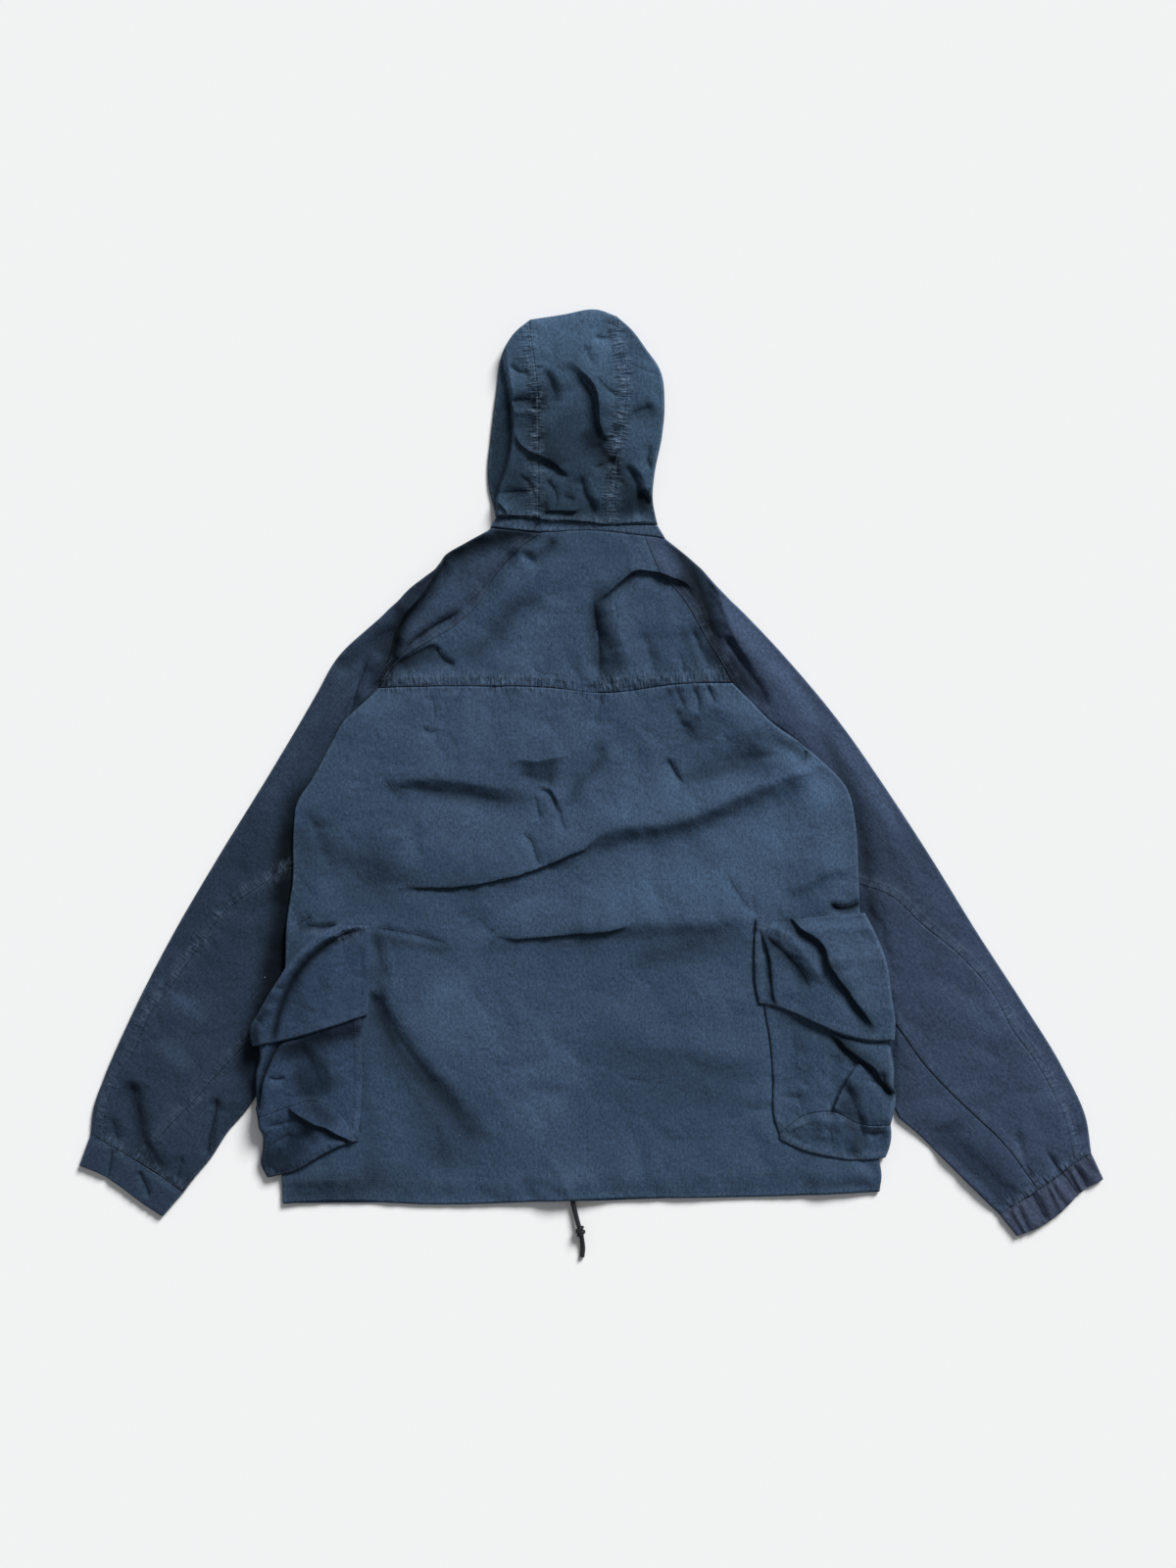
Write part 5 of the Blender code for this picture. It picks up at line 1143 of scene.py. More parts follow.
def faded_cotton_with_painted_light():
    """Plain-woven cotton, dyed and washed: slubs, mottling, lint, and edges worn paler, with painted shade
    and light laid over them.
    """
    group, given, out = new_group(
        "faded cotton with painted light",
        [
            ("Cloth", "NodeSocketColor", (0.05, 0.07, 0.1, 1.0)),
            ("Worn", "NodeSocketColor", (0.1, 0.13, 0.17, 1.0)),
            ("Fading", "NodeSocketFloat", 1.0),
        ],
        [
            ("Color", "NodeSocketColor"),
            ("Roughness", "NodeSocketFloat"),
            ("Normal", "NodeSocketVector"),
        ],
    )

    def told(name):
        """What the mesh tells at each place under this name."""
        return add_node(group, "ShaderNodeAttribute", attribute_name=name).outputs

    def parts(vector):
        return add_node(group, "ShaderNodeSeparateXYZ", {"Vector": vector}).outputs

    def times(one, other, clamp=False):
        return math_node(group, "MULTIPLY", one, other, clamp=clamp)

    def less(one, other):
        return math_node(group, "SUBTRACT", one, other)

    def scaled(value, factor, rest, clamp=False):
        return math_node(group, "MULTIPLY_ADD", value, factor, rest, clamp=clamp)

    def layered(layers, height):
        for layer, strength in layers:
            height = scaled(layer, strength, height)
        return height

    def uneven(across, along, detail, rough):
        """Unevenness with its own number of lumps a metre each way along the cloth."""
        return noise_node(group, grain, 1.0, detail, (across, along, 1.0), rough)

    grain, wear, tone = told("grain")["Vector"], told("wear")["Fac"], told("tone")["Fac"]
    seam = told("gathers")["Vector"]
    ripple = noise_node(group, seam, 1.0, 2.0, (290.0, 75.0, 0.0), 0.5)
    ripple = times(less(ripple, 0.5), parts(seam)["Z"])
    # Where a sharp fold's painted shadow and the painted highlight on its lit lip fall.
    past, reach, depth = parts(told("painted_fold_light")["Vector"])
    edge = times(step_node(group, past, -0.0007, 0.0002), depth)
    dark = times(edge, step_node(group, past, 0.0, reach, 1.0, 0.0))
    lip = less(times(step_node(group, past, -0.004, -0.001), depth), edge)

    slub = uneven(1500.0, 110.0, 3.0, 0.6)
    streak = uneven(520.0, 38.0, 3.0, 0.7)
    heather = uneven(330.0, 230.0, 3.0, 0.8)
    weft = uneven(160.0, 1300.0, 2.0, 0.6)
    scratch = uneven(420.0, 90.0, 4.0, 0.65)
    mottle = noise_node(group, grain, 34.0, 4.0, rough=0.62)
    fading = noise_node(group, grain, 6.5, 2.0)
    layers = ((slub, 0.3), (streak, 0.5), (heather, 2.2), (weft, 0.1), (mottle, 0.32))
    even = 1.0 - sum(strength for _, strength in layers) / 2
    large = times(less(fading, 0.5), given.outputs["Fading"])
    # The ripple of the seam gathers also goes into the colour, as painted light and dark stripes across
    # the puckers.
    brightness = layered((*layers, (large, 0.45), (ripple, 1.3)), even)
    # Painted shade and light: the shade tables, the painted shadow beside sharp folds, and the painted
    # highlight on their lit lip.
    for factor in (tone, scaled(dark, FOLD_DARKNESS, 1.0), scaled(lip, LIP_GLOW, 1.0)):
        brightness = times(brightness, factor)
    dyed = {"Color": given.outputs["Cloth"], "Value": brightness}
    dyed = add_node(group, "ShaderNodeHueSaturation", dyed).outputs["Color"]

    rubbed = scaled(scaled(scratch, 3.4, -1.45, clamp=True), 0.8, 0.2)
    crest = math_node(group, "MAXIMUM", times(ripple, 3.4), 0.0)
    rubbed = times(rubbed, math_node(group, "ADD", wear, crest), clamp=True)
    worn = blend(group, rubbed, dyed, given.outputs["Worn"])

    lint = add_node(group, "ShaderNodeTexVoronoi", {"Vector": grain, "Scale": LINT_SCALE}).outputs
    near = math_node(group, "LESS_THAN", lint["Distance"], LINT_SIZE)
    rare = add_node(group, "ShaderNodeSeparateColor", {"Color": lint["Color"]}).outputs[0]
    speck = times(near, math_node(group, "GREATER_THAN", rare, LINT_RARITY))

    weave = [
        add_node(group, "ShaderNodeTexWave", {"Vector": grain, "Scale": THREADS}, bands_direction=way)
        for way in "XY"
    ]
    height = times(times(weave[0].outputs["Fac"], weave[1].outputs["Fac"]), 0.06)
    crumple = noise_node(group, grain, 85.0, 4.0, (1.0, 0.8, 1.0), 0.55)
    finer = noise_node(group, grain, 230.0, 3.0, (1.0, 0.7, 1.0), 0.55)
    ridge, fine = (math_node(group, "ABSOLUTE", less(lumps, 0.5)) for lumps in (crumple, finer))
    relief = (slub, 0.16), (ridge, -2.2), (fine, -0.4), (mottle, 0.5), (ripple, 5.5), (edge, -0.8)
    height = layered(relief, height)
    bump = add_node(group, "ShaderNodeBump", {"Height": height, "Distance": 0.001, "Strength": 0.8})
    group.links.new(blend(group, speck, worn, LINT_TINT), out.inputs["Color"])
    group.links.new(scaled(mottle, 0.2, 0.74), out.inputs["Roughness"])
    group.links.new(bump.outputs[0], out.inputs["Normal"])
    return group


def cotton(name, colour, worn):
    material, tree, shader = new_material(name + " cotton")
    finish = add_node(tree, "ShaderNodeGroup", node_tree=COTTON)
    finish.inputs["Cloth"].default_value = colour
    finish.inputs["Worn"].default_value = worn
    for socket, value in (
        ("Specular IOR Level", 0.22),
        ("Specular Tint", (0.5, 0.76, 1.0, 1.0)),
        ("Sheen Weight", 0.06),
        ("Sheen Roughness", 0.45),
        ("Sheen Tint", (0.4, 0.66, 1.0, 1.0)),
    ):
        shader.inputs[socket].default_value = value
    for given, taken in (("Color", "Base Color"), ("Roughness", "Roughness"), ("Normal", "Normal")):
        tree.links.new(finish.outputs[given], shader.inputs[taken])
    return material


COTTON = faded_cotton_with_painted_light()
MATERIALS = {
    "body": cotton("body", tint(53, 70, 91), tint(98, 116, 138)),
    "hood": cotton("hood", tint(54, 73, 93), tint(108, 126, 147)),
    "left sleeve": cotton("left sleeve", tint(50, 64, 84), tint(92, 108, 130)),
    "right sleeve": cotton("right sleeve", tint(52, 64, 85), tint(96, 112, 134)),
    # The left pocket's cloth is coloured darker than the body's as painted shade: it lies on the side away
    # from the light.
    "left flap": cotton("left flap", tint(44, 59, 80), tint(88, 104, 125)),
    "right cuff": cotton("right cuff", tint(56, 63, 82), tint(92, 105, 127)),
}

def unit(vectors):
    return vectors / np.maximum(np.linalg.norm(vectors, axis=-1, keepdims=True), 1e-9)


def plan_grid(left, right, first=None, last=None, across=10, shares=None):
    """Plan points between four edges, straight where no edge is given."""
    if shares is None:
        edge = first if last is None else last
        shares = np.linspace(0.0, 1.0, across + 1 if edge is None else len(edge))
    share = np.array(shares)[:, None]
    if first is None:
        first = left[0] * (1 - share) + right[0] * share
    if last is None:
        last = left[-1] * (1 - share) + right[-1] * share
    u = share[None]
    v = np.linspace(0.0, 1.0, len(left))[:, None, None]
    ruled = left[:, None] * (1 - u) + right[:, None] * u
    ruled = ruled + first[None] * (1 - v) + last[None] * v
    corners = (left[0] * (1 - v) + left[-1] * v) * (1 - u)
    return ruled - corners - (right[0] * (1 - v) + right[-1] * v) * u


def turned(array, side):
    """The grid with the wanted edge as its first column."""
    if side in ("first", "last"):
        array = np.swapaxes(array, 0, 1)
    return array[:, ::-1] if side in ("right", "last") else array


def turned_back(array, side):
    if side in ("right", "last"):
        array = array[:, ::-1]
    return np.swapaxes(array, 0, 1) if side in ("first", "last") else array


def inward(grid):
    """For the first column: the way into the piece, longer where the edge is oblique."""
    deep = min(4, grid.shape[1] - 1)
    way = unit(grid[:, deep] - grid[:, 0])
    edge = unit(np.gradient(grid[:, 0], axis=0))
    across = np.abs(way[:, 0] * edge[:, 1] - way[:, 1] * edge[:, 0])
    return way / np.maximum(across, 0.4)[:, None]


def along_rows(grid, distances):
    """Plan points at these distances along each row from its first column."""
    places = np.empty((*distances.shape, 2))
    for row, wanted in enumerate(distances):
        run = run_along(grid[row])
        for axis in (0, 1):
            places[row, :, axis] = np.interp(wanted, run, grid[row, :, axis])
    return places


class Fold:
    """An edge that is turned under: how far it bends out and how far it runs back."""

    def __init__(self, under, bend=BEND, back=TURN, strips=2, rows=None):
        self.under = under
        self.bend = bend
        self.back = back
        self.strips = strips
        self.rows = rows

    def span_of(self, count):
        first, last = self.rows or (0, count - 1)
        return slice(first, last + 1)

    def inset(self, count):
        amounts = np.full(count, SEAM / 2)
        amounts[self.span_of(count)] = self.bend
        return amounts

    def strip(self, grid, z, side):
        """Grid of the bend and of what runs back, from the edge of the piece on."""
        grid, z = turned(grid, side), turned(z, side)
        rows = self.span_of(len(z))
        way = inward(grid[rows])
        edge = grid[rows, 0]
        high = z[rows, 0]
        low = self.under(edge[:, 0], edge[:, 1])
        back = np.broadcast_to(np.reshape(self.back, (-1, 1)), (len(edge), 1))
        plans, heights = [edge], [high]
        for turn in range(1, TURNS + 1):
            angle = np.pi * turn / TURNS
            plans.append(edge - way * self.bend * np.sin(angle))
            heights.append((high + low) / 2 + (high - low) / 2 * np.cos(angle))
        shares = np.arange(1, self.strips + 1) / self.strips
        oblique = np.linalg.norm(way, axis=1, keepdims=True)
        returned = along_rows(grid[rows], back * oblique * shares)
        plan = np.concatenate([np.stack(plans, axis=1), returned], axis=1)
        low_run = self.under(returned[..., 0], returned[..., 1])
        return plan, np.concatenate([np.stack(heights, axis=1), low_run], axis=1)


def from_edge(grid, side):
    """Distance of each point of a grid from one of its edges, along its row."""
    view = turned(grid, side)
    steps = np.hypot(*np.moveaxis(np.diff(view, axis=1), -1, 0))
    run = np.concatenate([np.zeros((len(view), 1)), np.cumsum(steps, axis=1)], axis=1)
    return turned_back(run, side)


OUTER_FACES = {}  # a search tree of each piece's outer face, for what is sewn on it
INSET_FADE = 30.0  # how far into a piece the setting in of its edge is felt
TURNED_WEAR = 0.35
MERGE_WITHIN = 2e-6


def object_of(mesh, name, material):
    """An object made of a mesh that is done, with smooth faces and its material."""
    for face in mesh.faces:
        face.smooth = True
    data = bpy.data.meshes.new(name)
    mesh.to_mesh(data)
    mesh.free()
    return placed(name, data, material)


def placed(name, data, *materials):
    made = bpy.data.objects.new(name, data)
    bpy.context.scene.collection.objects.link(made)
    for material in materials:
        made.data.materials.append(material)
    return made


def cloth(name, grid, lie, grain=0.0, faces_up=True, material="body", **edges):
    """A cut piece of cloth that stands for its solid, from its plan and how it lies.

    An edge is a seam unless it is given as a Fold or as the distance that it is set in.
    """
    grid = grid.copy()
    sewn = []
    for side in ("first", "last", "left", "right"):
        edge = edges.get(side, SEAM / 2)
        if side not in edges:
            sewn.append(side)
        view = turned(grid, side)
        inset = edge
        way = inward(view)
        if isinstance(edge, Fold):
            inset = edge.inset(len(view))
            turned_rows = edge.span_of(len(view))
            way[turned_rows] = inward(view[turned_rows])
        shift = way * np.reshape(inset, (-1, 1))
        fade = np.clip(1.0 - from_edge(view, "left") / INSET_FADE, 0.0, 1.0)
        view = view + shift[:, None] * fade[..., None]
        grid = turned_back(view, side).copy()
    laid = lie(grid[..., 0], grid[..., 1])
    z, tone = laid.z, laid.tone
    for side in sewn:
        dip = np.exp(-((from_edge(grid, side) / DIP_REACH) ** 2))
        z = z - SEAM_DIP * dip * (1.0 if faces_up else 0.0)
    plan = grid + laid.plan
    grids = [(plan, z, laid.wear, tone, laid.gathers, laid.painted_fold_light)]
    for side, edge in edges.items():
        if isinstance(edge, Fold):
            strip_plan, strip_z = edge.strip(plan, z, side)
            edge_painted_light_and_wear = turned(tone, side)
            edge_painted_light_and_wear = edge_painted_light_and_wear[edge.span_of(len(edge_painted_light_and_wear)), :1]
            grids.append((strip_plan, strip_z, TURNED_WEAR, edge_painted_light_and_wear, 0.0, 0.0))
    made_up(name, grids, grain, faces_up, material)


def made_up(name, grids, grain, faces_up, material):
    """A piece's mesh, which also tells the finish about the cloth at each place, with its painted shade
    and light.
    """
    mesh = bmesh.new()
    layers = mesh.verts.layers
    grain_layer = layers.float_vector.new("grain")
    wear_layer = layers.float.new("wear")
    painted_light_and_wear_layer = layers.float.new("tone")
    gathers_layer = layers.float_vector.new("gathers")
    painted_fold_layer = layers.float_vector.new("painted_fold_light")
    turn = math.radians(grain)
    for plan, z, wear, tone, gathers, painted_fold_light in grids:
        rows, columns = z.shape
        made = bmesh.ops.create_grid(mesh, x_segments=columns - 1, y_segments=rows - 1, size=1.0)
        flat = plan.reshape(-1, 2) * TO_METRES
        places = np.column_stack([flat, z.ravel() * TO_METRES])
        wears = np.broadcast_to(wear, z.shape).ravel()
        painted_lights_and_wear = np.broadcast_to(tone, z.shape).ravel()
        gathered = np.broadcast_to(gathers, (*z.shape, 3)).reshape(-1, 3)
        painted_folds = np.broadcast_to(painted_fold_light, (*z.shape, 3)).reshape(-1, 3)
        along = flat[:, 0] * math.cos(turn) + flat[:, 1] * math.sin(turn)
        up = flat[:, 1] * math.cos(turn) - flat[:, 0] * math.sin(turn)
        for index, vertex in enumerate(made["verts"]):
            vertex.co = places[index]
            vertex[grain_layer] = (along[index], up[index], 0.0)
            vertex[wear_layer] = wears[index]
            vertex[painted_light_and_wear_layer] = painted_lights_and_wear[index]
            vertex[gathers_layer] = gathered[index]
            vertex[painted_fold_layer] = painted_folds[index]
    bmesh.ops.remove_doubles(mesh, verts=mesh.verts[:], dist=MERGE_WITHIN)
    bmesh.ops.recalc_face_normals(mesh, faces=mesh.faces[:])
    mesh.faces.ensure_lookup_table()
    rows, columns = grids[0][1].shape
    middle = mesh.faces[(rows - 1) // 2 * (columns - 1) + (columns - 1) // 2]
    if (middle.normal.z > 0) != faces_up:
        bmesh.ops.reverse_faces(mesh, faces=mesh.faces[:])
    if faces_up:
        OUTER_FACES[name] = BVHTree.FromBMesh(mesh)
    made = object_of(mesh, name + "_cloth", MATERIALS[material])
    thick = made.modifiers.new("wall", "SOLIDIFY")
    thick.thickness = WALL * TO_METRES
    thick.offset = -1.0
    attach(made, "root")
    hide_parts(name)

# The cloth pieces.

RAGLAN_ROWS = 88
FRONT_FOOT = -503.0
PLACKET_TOP = 275.0
PLACKET_FOOT = -498.0
GRAINS = {"left": -38.0, "right": 38.0}  # turn of the weave in each sleeve
PAST_SEAM = 0.03  # share of the hidden line that the seam's own thickness takes


def turn_widths(count, ramp=12):
    """How far a turned edge runs back: it starts narrow, to clear the seam it starts at."""
    return np.maximum(0.8, TURN * smoothstep(np.arange(count) / ramp))


def lower_inset(raglan_rows, count, ramp):
    """How far a lower piece is set in: a seam at the raglan, then the turned edge."""
    raglan = np.full(raglan_rows, SEAM / 2)
    return np.concatenate([raglan, BEND + turn_widths(count, ramp) + LOWER_GAP])


def back_pieces():
    grid = plan_grid(
        span(RAGLAN_LEFT, 84), span(RAGLAN_RIGHT, 84), span(NECK_BACK, 150), span(YOKE_SEAM, 150)
    )
    cloth("back_yoke", grid, upper_lie)
    rows = 200
    grid = plan_grid(span(SIDE_LEFT, rows), span(SIDE_RIGHT, rows), span(YOKE_SEAM, 212), span(HEM, 212))
    fold = Fold(front_floor, back=turn_widths(rows + 1), strips=2)
    cloth("back_body", grid, body_lie, left=fold, right=fold, last=0.0)


def front_pieces():
    centre_share = share_at(NECK_BACK, 1)
    shares = np.linspace(0.0, 1.0, 49)
    neck_left = spaced(NECK_BACK, centre_share * shares)
    neck_right = spaced(NECK_BACK, 1.0 - (1.0 - centre_share) * shares)
    for name, raglan, side, neck in (
        ("front_left", RAGLAN_LEFT, SIDE_LEFT, neck_left),
        ("front_right", RAGLAN_RIGHT, SIDE_RIGHT, neck_right),
    ):
        outer = joined(span(raglan, 36), span(side, 90))
        centre = np.column_stack([np.zeros(len(outer)), np.linspace(neck[-1][1], FRONT_FOOT, len(outer))])
        grid = plan_grid(outer, centre, first=neck, shares=shares)
        inset = lower_inset(36, 91, 6)
        cloth(name, grid, under_lie(front_floor), faces_up=False, left=inset, last=0.0)
    heights = np.linspace(PLACKET_TOP, PLACKET_FOOT, 100)
    left = np.column_stack([np.full(100, -PLACKET_HALF), heights])
    right = np.column_stack([np.full(100, PLACKET_HALF), heights])
    grid = plan_grid(left, right, across=6)
    edges = {"left": 0.0, "right": 0.0, "first": 0.0, "last": 0.0}
    cloth("front_placket", grid, flat_lie, faces_up=False, **edges)


def sleeve(side, raglan, tuck, hidden, inner, outer, elbow, under, cuff_seam, shares):
    """The four pieces of a sleeve, from its lines.

    The shares say where the arm and the elbow come on the outer fold, and where the under
    seam meets the hidden line.
    """
    at_arm, at_elbow, at_seam = shares
    look = {"grain": GRAINS[side], "material": f"{side} sleeve"}

    def outer_fold(raglan_rows, tuck_rows, elbow_rows):
        return joined(
            span(outer, raglan_rows, 0.0, at_arm),
            span(outer, tuck_rows, at_arm, at_elbow),
            span(outer, elbow_rows, at_elbow, 1.0),
        )

    def end(cells, first, last):
        """Points on the cuff seam between two of the points of its table."""
        return span(cuff_seam, cells, share_at(cuff_seam, first), share_at(cuff_seam, last))

    tuck_rows, elbow_rows, hidden_rows, pocket_rows = 70, 136, 36, 30
    elbow = span(elbow, elbow_rows)
    edge = joined(span(raglan, RAGLAN_ROWS), span(tuck, tuck_rows), elbow)
    rows = (RAGLAN_ROWS, RAGLAN_ROWS + tuck_rows)
    tucked = Fold(surface, back=turn_widths(tuck_rows + 1), rows=rows)
    grid = plan_grid(outer_fold(RAGLAN_ROWS, tuck_rows, elbow_rows), edge, last=end(62, 0, 1))
    cloth(f"sleeve_{side}_upper", grid, upper_lie, left=Fold(surface), right=tucked, **look)

    under = span(under, elbow_rows - hidden_rows - 1)
    edge = joined(span(hidden, hidden_rows, 0.0, at_seam), under)
    grid = plan_grid(elbow[1:], edge, last=end(34, 1, 2))
    fold = Fold(surface, rows=(0, hidden_rows))
    cloth(f"sleeve_{side}_elbow", grid, upper_lie, first=0.0, right=fold, **look)

    lower_hidden = span(hidden, pocket_rows, at_seam + PAST_SEAM, 1.0)
    edge = joined(lower_hidden, span(inner, len(under) - 2 - pocket_rows))
    grid = plan_grid(under[1:], edge, last=end(34, 2, 3))
    cloth(f"sleeve_{side}_under", grid, upper_lie, first=0.0, right=Fold(surface), **look)

    raglan_rows, tuck_rows, lower_rows = 30, 24, 54
    gap = span([tuck[-1], hidden[0]], 2)
    edge = joined(span(tuck, tuck_rows), gap, span(hidden, 28), span(inner, 24))
    full = joined(span(raglan, raglan_rows), edge)
    grid = plan_grid(outer_fold(raglan_rows, tuck_rows, lower_rows), full, last=end(32, 0, 3))
    look |= {"left": BEND + TURN + LOWER_GAP, "right": lower_inset(raglan_rows, len(edge), 6), "last": 0.6}
    cloth(f"sleeve_{side}_front", grid, under_lie(surface), faces_up=False, **look)


def cuff(side, seam, end, material):
    """A gathered cuff: a flat tube with its own seam along the middle underneath."""
    left = np.array([seam[0], end[0]], float)
    right = np.array([seam[-1], end[-1]], float)
    grid = plan_grid(span(left, 26), span(right, 26), span(seam, 96), span(end, 96))
    lengths = np.linalg.norm(np.diff(grid, axis=1), axis=2).sum(axis=1)
    fold = Fold(surface, back=lengths / 2 - 2.0 * BEND, strips=16)
    look = {"grain": GRAINS[side], "material": material}
    cloth(f"cuff_{side}", grid, cuff_lie, left=fold, right=fold, last=0.0, **look)


HOOD_TOP_SHARE = 0.95  # where the side panels of the hood turn over the crown


def hood_pieces():
    rows = 110
    seam_shares = np.append(np.linspace(0.0, HOOD_TOP_SHARE, rows), 1.0)
    seam_left = spaced(HOOD_SEAM_LEFT, seam_shares)
    seam_right = spaced(HOOD_SEAM_RIGHT, seam_shares)
    middle = [HOOD_SEAM_LEFT[0], HOOD_JOINT[2], HOOD_SEAM_RIGHT[0]]
    grid = plan_grid(span(middle, 50), span(CROWN, 50), seam_left, seam_right)
    fold = Fold(surface, bend=3.0, back=18.0, strips=6)
    cloth("hood_centre", grid, hood_lie, material="hood", right=fold)
    for side, seam, edge in (
        ("left", HOOD_SEAM_LEFT, HOOD_EDGE_LEFT),
        ("right", HOOD_SEAM_RIGHT, HOOD_EDGE_RIGHT),
    ):
        inner, outer = span(seam, rows, 0.0, HOOD_TOP_SHARE), span(edge, rows)
        width = np.hypot(*(outer - inner).T)
        fold = Fold(surface, bend=3.0, back=np.minimum(0.75 * width, 38.0), strips=10)
        grid = plan_grid(inner, outer, across=30)
        cloth(f"hood_{side}", grid, hood_lie, material="hood", right=fold, last=0.35)
    neck = joined(span(NECK_LEFT, 24), span(NECK_BACK, 50), span(NECK_RIGHT, 12))
    joint = span(HOOD_JOINT, 86)
    grid = plan_grid(span([neck[0], joint[0]], 6), span([neck[-1], joint[-1]], 6), neck, joint)
    fold = Fold(surface, back=62.0, strips=16)
    cloth("neck_band", grid, neck_lie, left=fold, right=fold)


def pocket_pieces():
    fold = Fold(sleeve_floor, bend=5.0, back=38.0, strips=10)
    fold_over = Fold(sleeve_floor, bend=4.0, back=1.0)
    grid = plan_grid(span(BAG_LEFT_EDGE, 96), span(BAG_LEFT_SEAM, 96), last=span(BAG_LEFT_RIDGE, 60))
    cloth("pocket_left_bag", grid, bag_left_lie, material="left flap", left=fold, last=0.01)
    seam = [BAG_LEFT_RIDGE[-1], GUSSET_LEFT_FOOT[-1]]
    grid = plan_grid(
        span(GUSSET_LEFT_EDGE, 40), span(seam, 40), span(BAG_LEFT_RIDGE, 60), span(GUSSET_LEFT_FOOT, 60)
    )
    cloth("pocket_left_gusset", grid, bag_left_lie, material="left flap", left=fold, first=0.01)
    grid = plan_grid(span(FLAP_LEFT_EDGE, 66), span(FLAP_LEFT_SIDE, 66), last=span(FLAP_LEFT_FOOT, 60))
    edges = {"left": fold_over, "right": 0.0, "last": 0.0}
    cloth("pocket_left_flap", grid, flap_left_lie, material="left flap", **edges)
    grid = plan_grid(span(BAG_RIGHT_SEAM, 96), span(BAG_RIGHT_EDGE, 96), last=span(BAG_RIGHT_RIDGE, 60))
    cloth("pocket_right_bag", grid, bag_right_lie, right=fold)
    seam = [BAG_RIGHT_RIDGE[0], GUSSET_RIGHT_FOOT[0]]
    grid = plan_grid(
        span(seam, 30), span(GUSSET_RIGHT_EDGE, 30), span(BAG_RIGHT_RIDGE, 60), span(GUSSET_RIGHT_FOOT, 60)
    )
    cloth("pocket_right_gusset", grid, bag_right_lie, right=fold, first=0.3)
    grid = plan_grid(span(FLAP_RIGHT_SIDE, 66), span(FLAP_RIGHT_EDGE, 66), last=span(FLAP_RIGHT_FOOT, 66))
    edges = {"left": 0.0, "right": fold_over, "last": 0.0}
    cloth("pocket_right_flap", grid, flap_right_lie, **edges)

# The hem drawcord: the first of its points is where it leaves the hem.
CORD_WIDTH = 5.6
CORD_ROUTE = [
    (-24, -480, 5.7),
    (-22, -503, 5.6),
    (-19, -516, 4.6),
    (-16, -528, 5.6),
    (-13, -538, 6.6),
    (-11, -549, 4.2),
    (-10, -559, 2.5),
    (-11, -569, 2.5),
]
KNOT_PLACE = (-13, -538)


def drawcord():
    """The hem cord and its knot, a length of the same cord wound round it."""
    route = smooth_line(CORD_ROUTE, 3)
    line = bpy.data.curves.new("drawcord_line", "CURVE")
    line.dimensions = "3D"
    line.bevel_depth = CORD_WIDTH / 2 * TO_METRES
    line.bevel_resolution = 5
    line.use_fill_caps = True
    spline = line.splines.new("POLY")
    spline.points.add(len(route) - 1)
    for point, place in zip(spline.points, route):
        point.co = (*(place * TO_METRES), 1.0)
    cord = placed("drawcord_line", line, CORD_FINISH)
    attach(cord, "root")
    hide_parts("hem_drawcord")
    turns = knot(route)


STRAND = 1.7  # half the width of one turn of the knot
KNOT_TURNS = ((-2.9, 3.9, 0.3), (0.3, 4.3, -0.2), (3.2, 3.9, 0.25))  # shift along the cord, reach, lean


def knot(route):
    place = np.argmin(np.hypot(*(route[:, :2] - KNOT_PLACE).T))
    axis = unit(route[place + 1] - route[place - 1])
    side = unit(np.cross(axis, (0.0, 0.0, 1.0)))
    up = np.cross(side, axis)
    mesh = bmesh.new()
    for shift, reach, lean in KNOT_TURNS:
        ring = bmesh.ops.create_circle(mesh, segments=10, radius=STRAND * TO_METRES)["verts"]
        centre = route[place] + shift * axis
        way = unit(side + lean * axis)
        normal = unit(np.cross(way, up))
        spot = Matrix.Translation(Vector((centre + reach * up) * TO_METRES))
        across = Matrix((Vector(normal), Vector(up), Vector(way))).transposed().to_4x4()
        bmesh.ops.transform(mesh, matrix=spot @ across, verts=ring)
        edges = list({edge for vertex in ring for edge in vertex.link_edges})
        bmesh.ops.spin(
            mesh,
            geom=ring + edges,
            cent=Vector(centre * TO_METRES),
            axis=Vector(normal),
            angle=2.0 * math.pi,
            steps=28,
            use_merge=True,
        )
    bmesh.ops.remove_doubles(mesh, verts=mesh.verts[:], dist=1e-6)
    bmesh.ops.recalc_face_normals(mesh, faces=mesh.faces[:])
    turns = object_of(mesh, "drawcord_turns", CORD_FINISH)
    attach(turns, "root")
    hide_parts("drawcord_knot")
    return turns


def braided():
    material, tree, shader = new_material("braided cord")
    place = add_node(tree, "ShaderNodeTexCoord").outputs["Object"]
    weave = {"Vector": place, "Scale": 210.0}
    braid = add_node(tree, "ShaderNodeTexWave", weave, bands_direction="DIAGONAL").outputs["Fac"]
    fibre = noise_node(tree, place, 900.0, 3.0)
    height = math_node(tree, "MULTIPLY_ADD", fibre, 0.3, braid)
    bump = add_node(tree, "ShaderNodeBump", {"Height": height, "Distance": 0.0004, "Strength": 0.8})
    roughness = math_node(tree, "MULTIPLY_ADD", fibre, 0.3, 0.6)
    tree.links.new(blend(tree, fibre, tint(14, 15, 20), tint(38, 40, 48)), shader.inputs["Base Color"])
    tree.links.new(roughness, shader.inputs["Roughness"])
    tree.links.new(bump.outputs[0], shader.inputs["Normal"])
    shader.inputs["Specular IOR Level"].default_value = 0.3
    return material


# Topstitching.
STITCH = 2.5  # length of one stitch that shows
STITCH_PITCH = 3.2
THREAD = 0.55
STITCH_LIFT = 0.1
ROW_END = 2.0  # how far a row of stitches stays from the ends of its line
COVERED = 0.8  # a stitch under this much cloth doesn't show


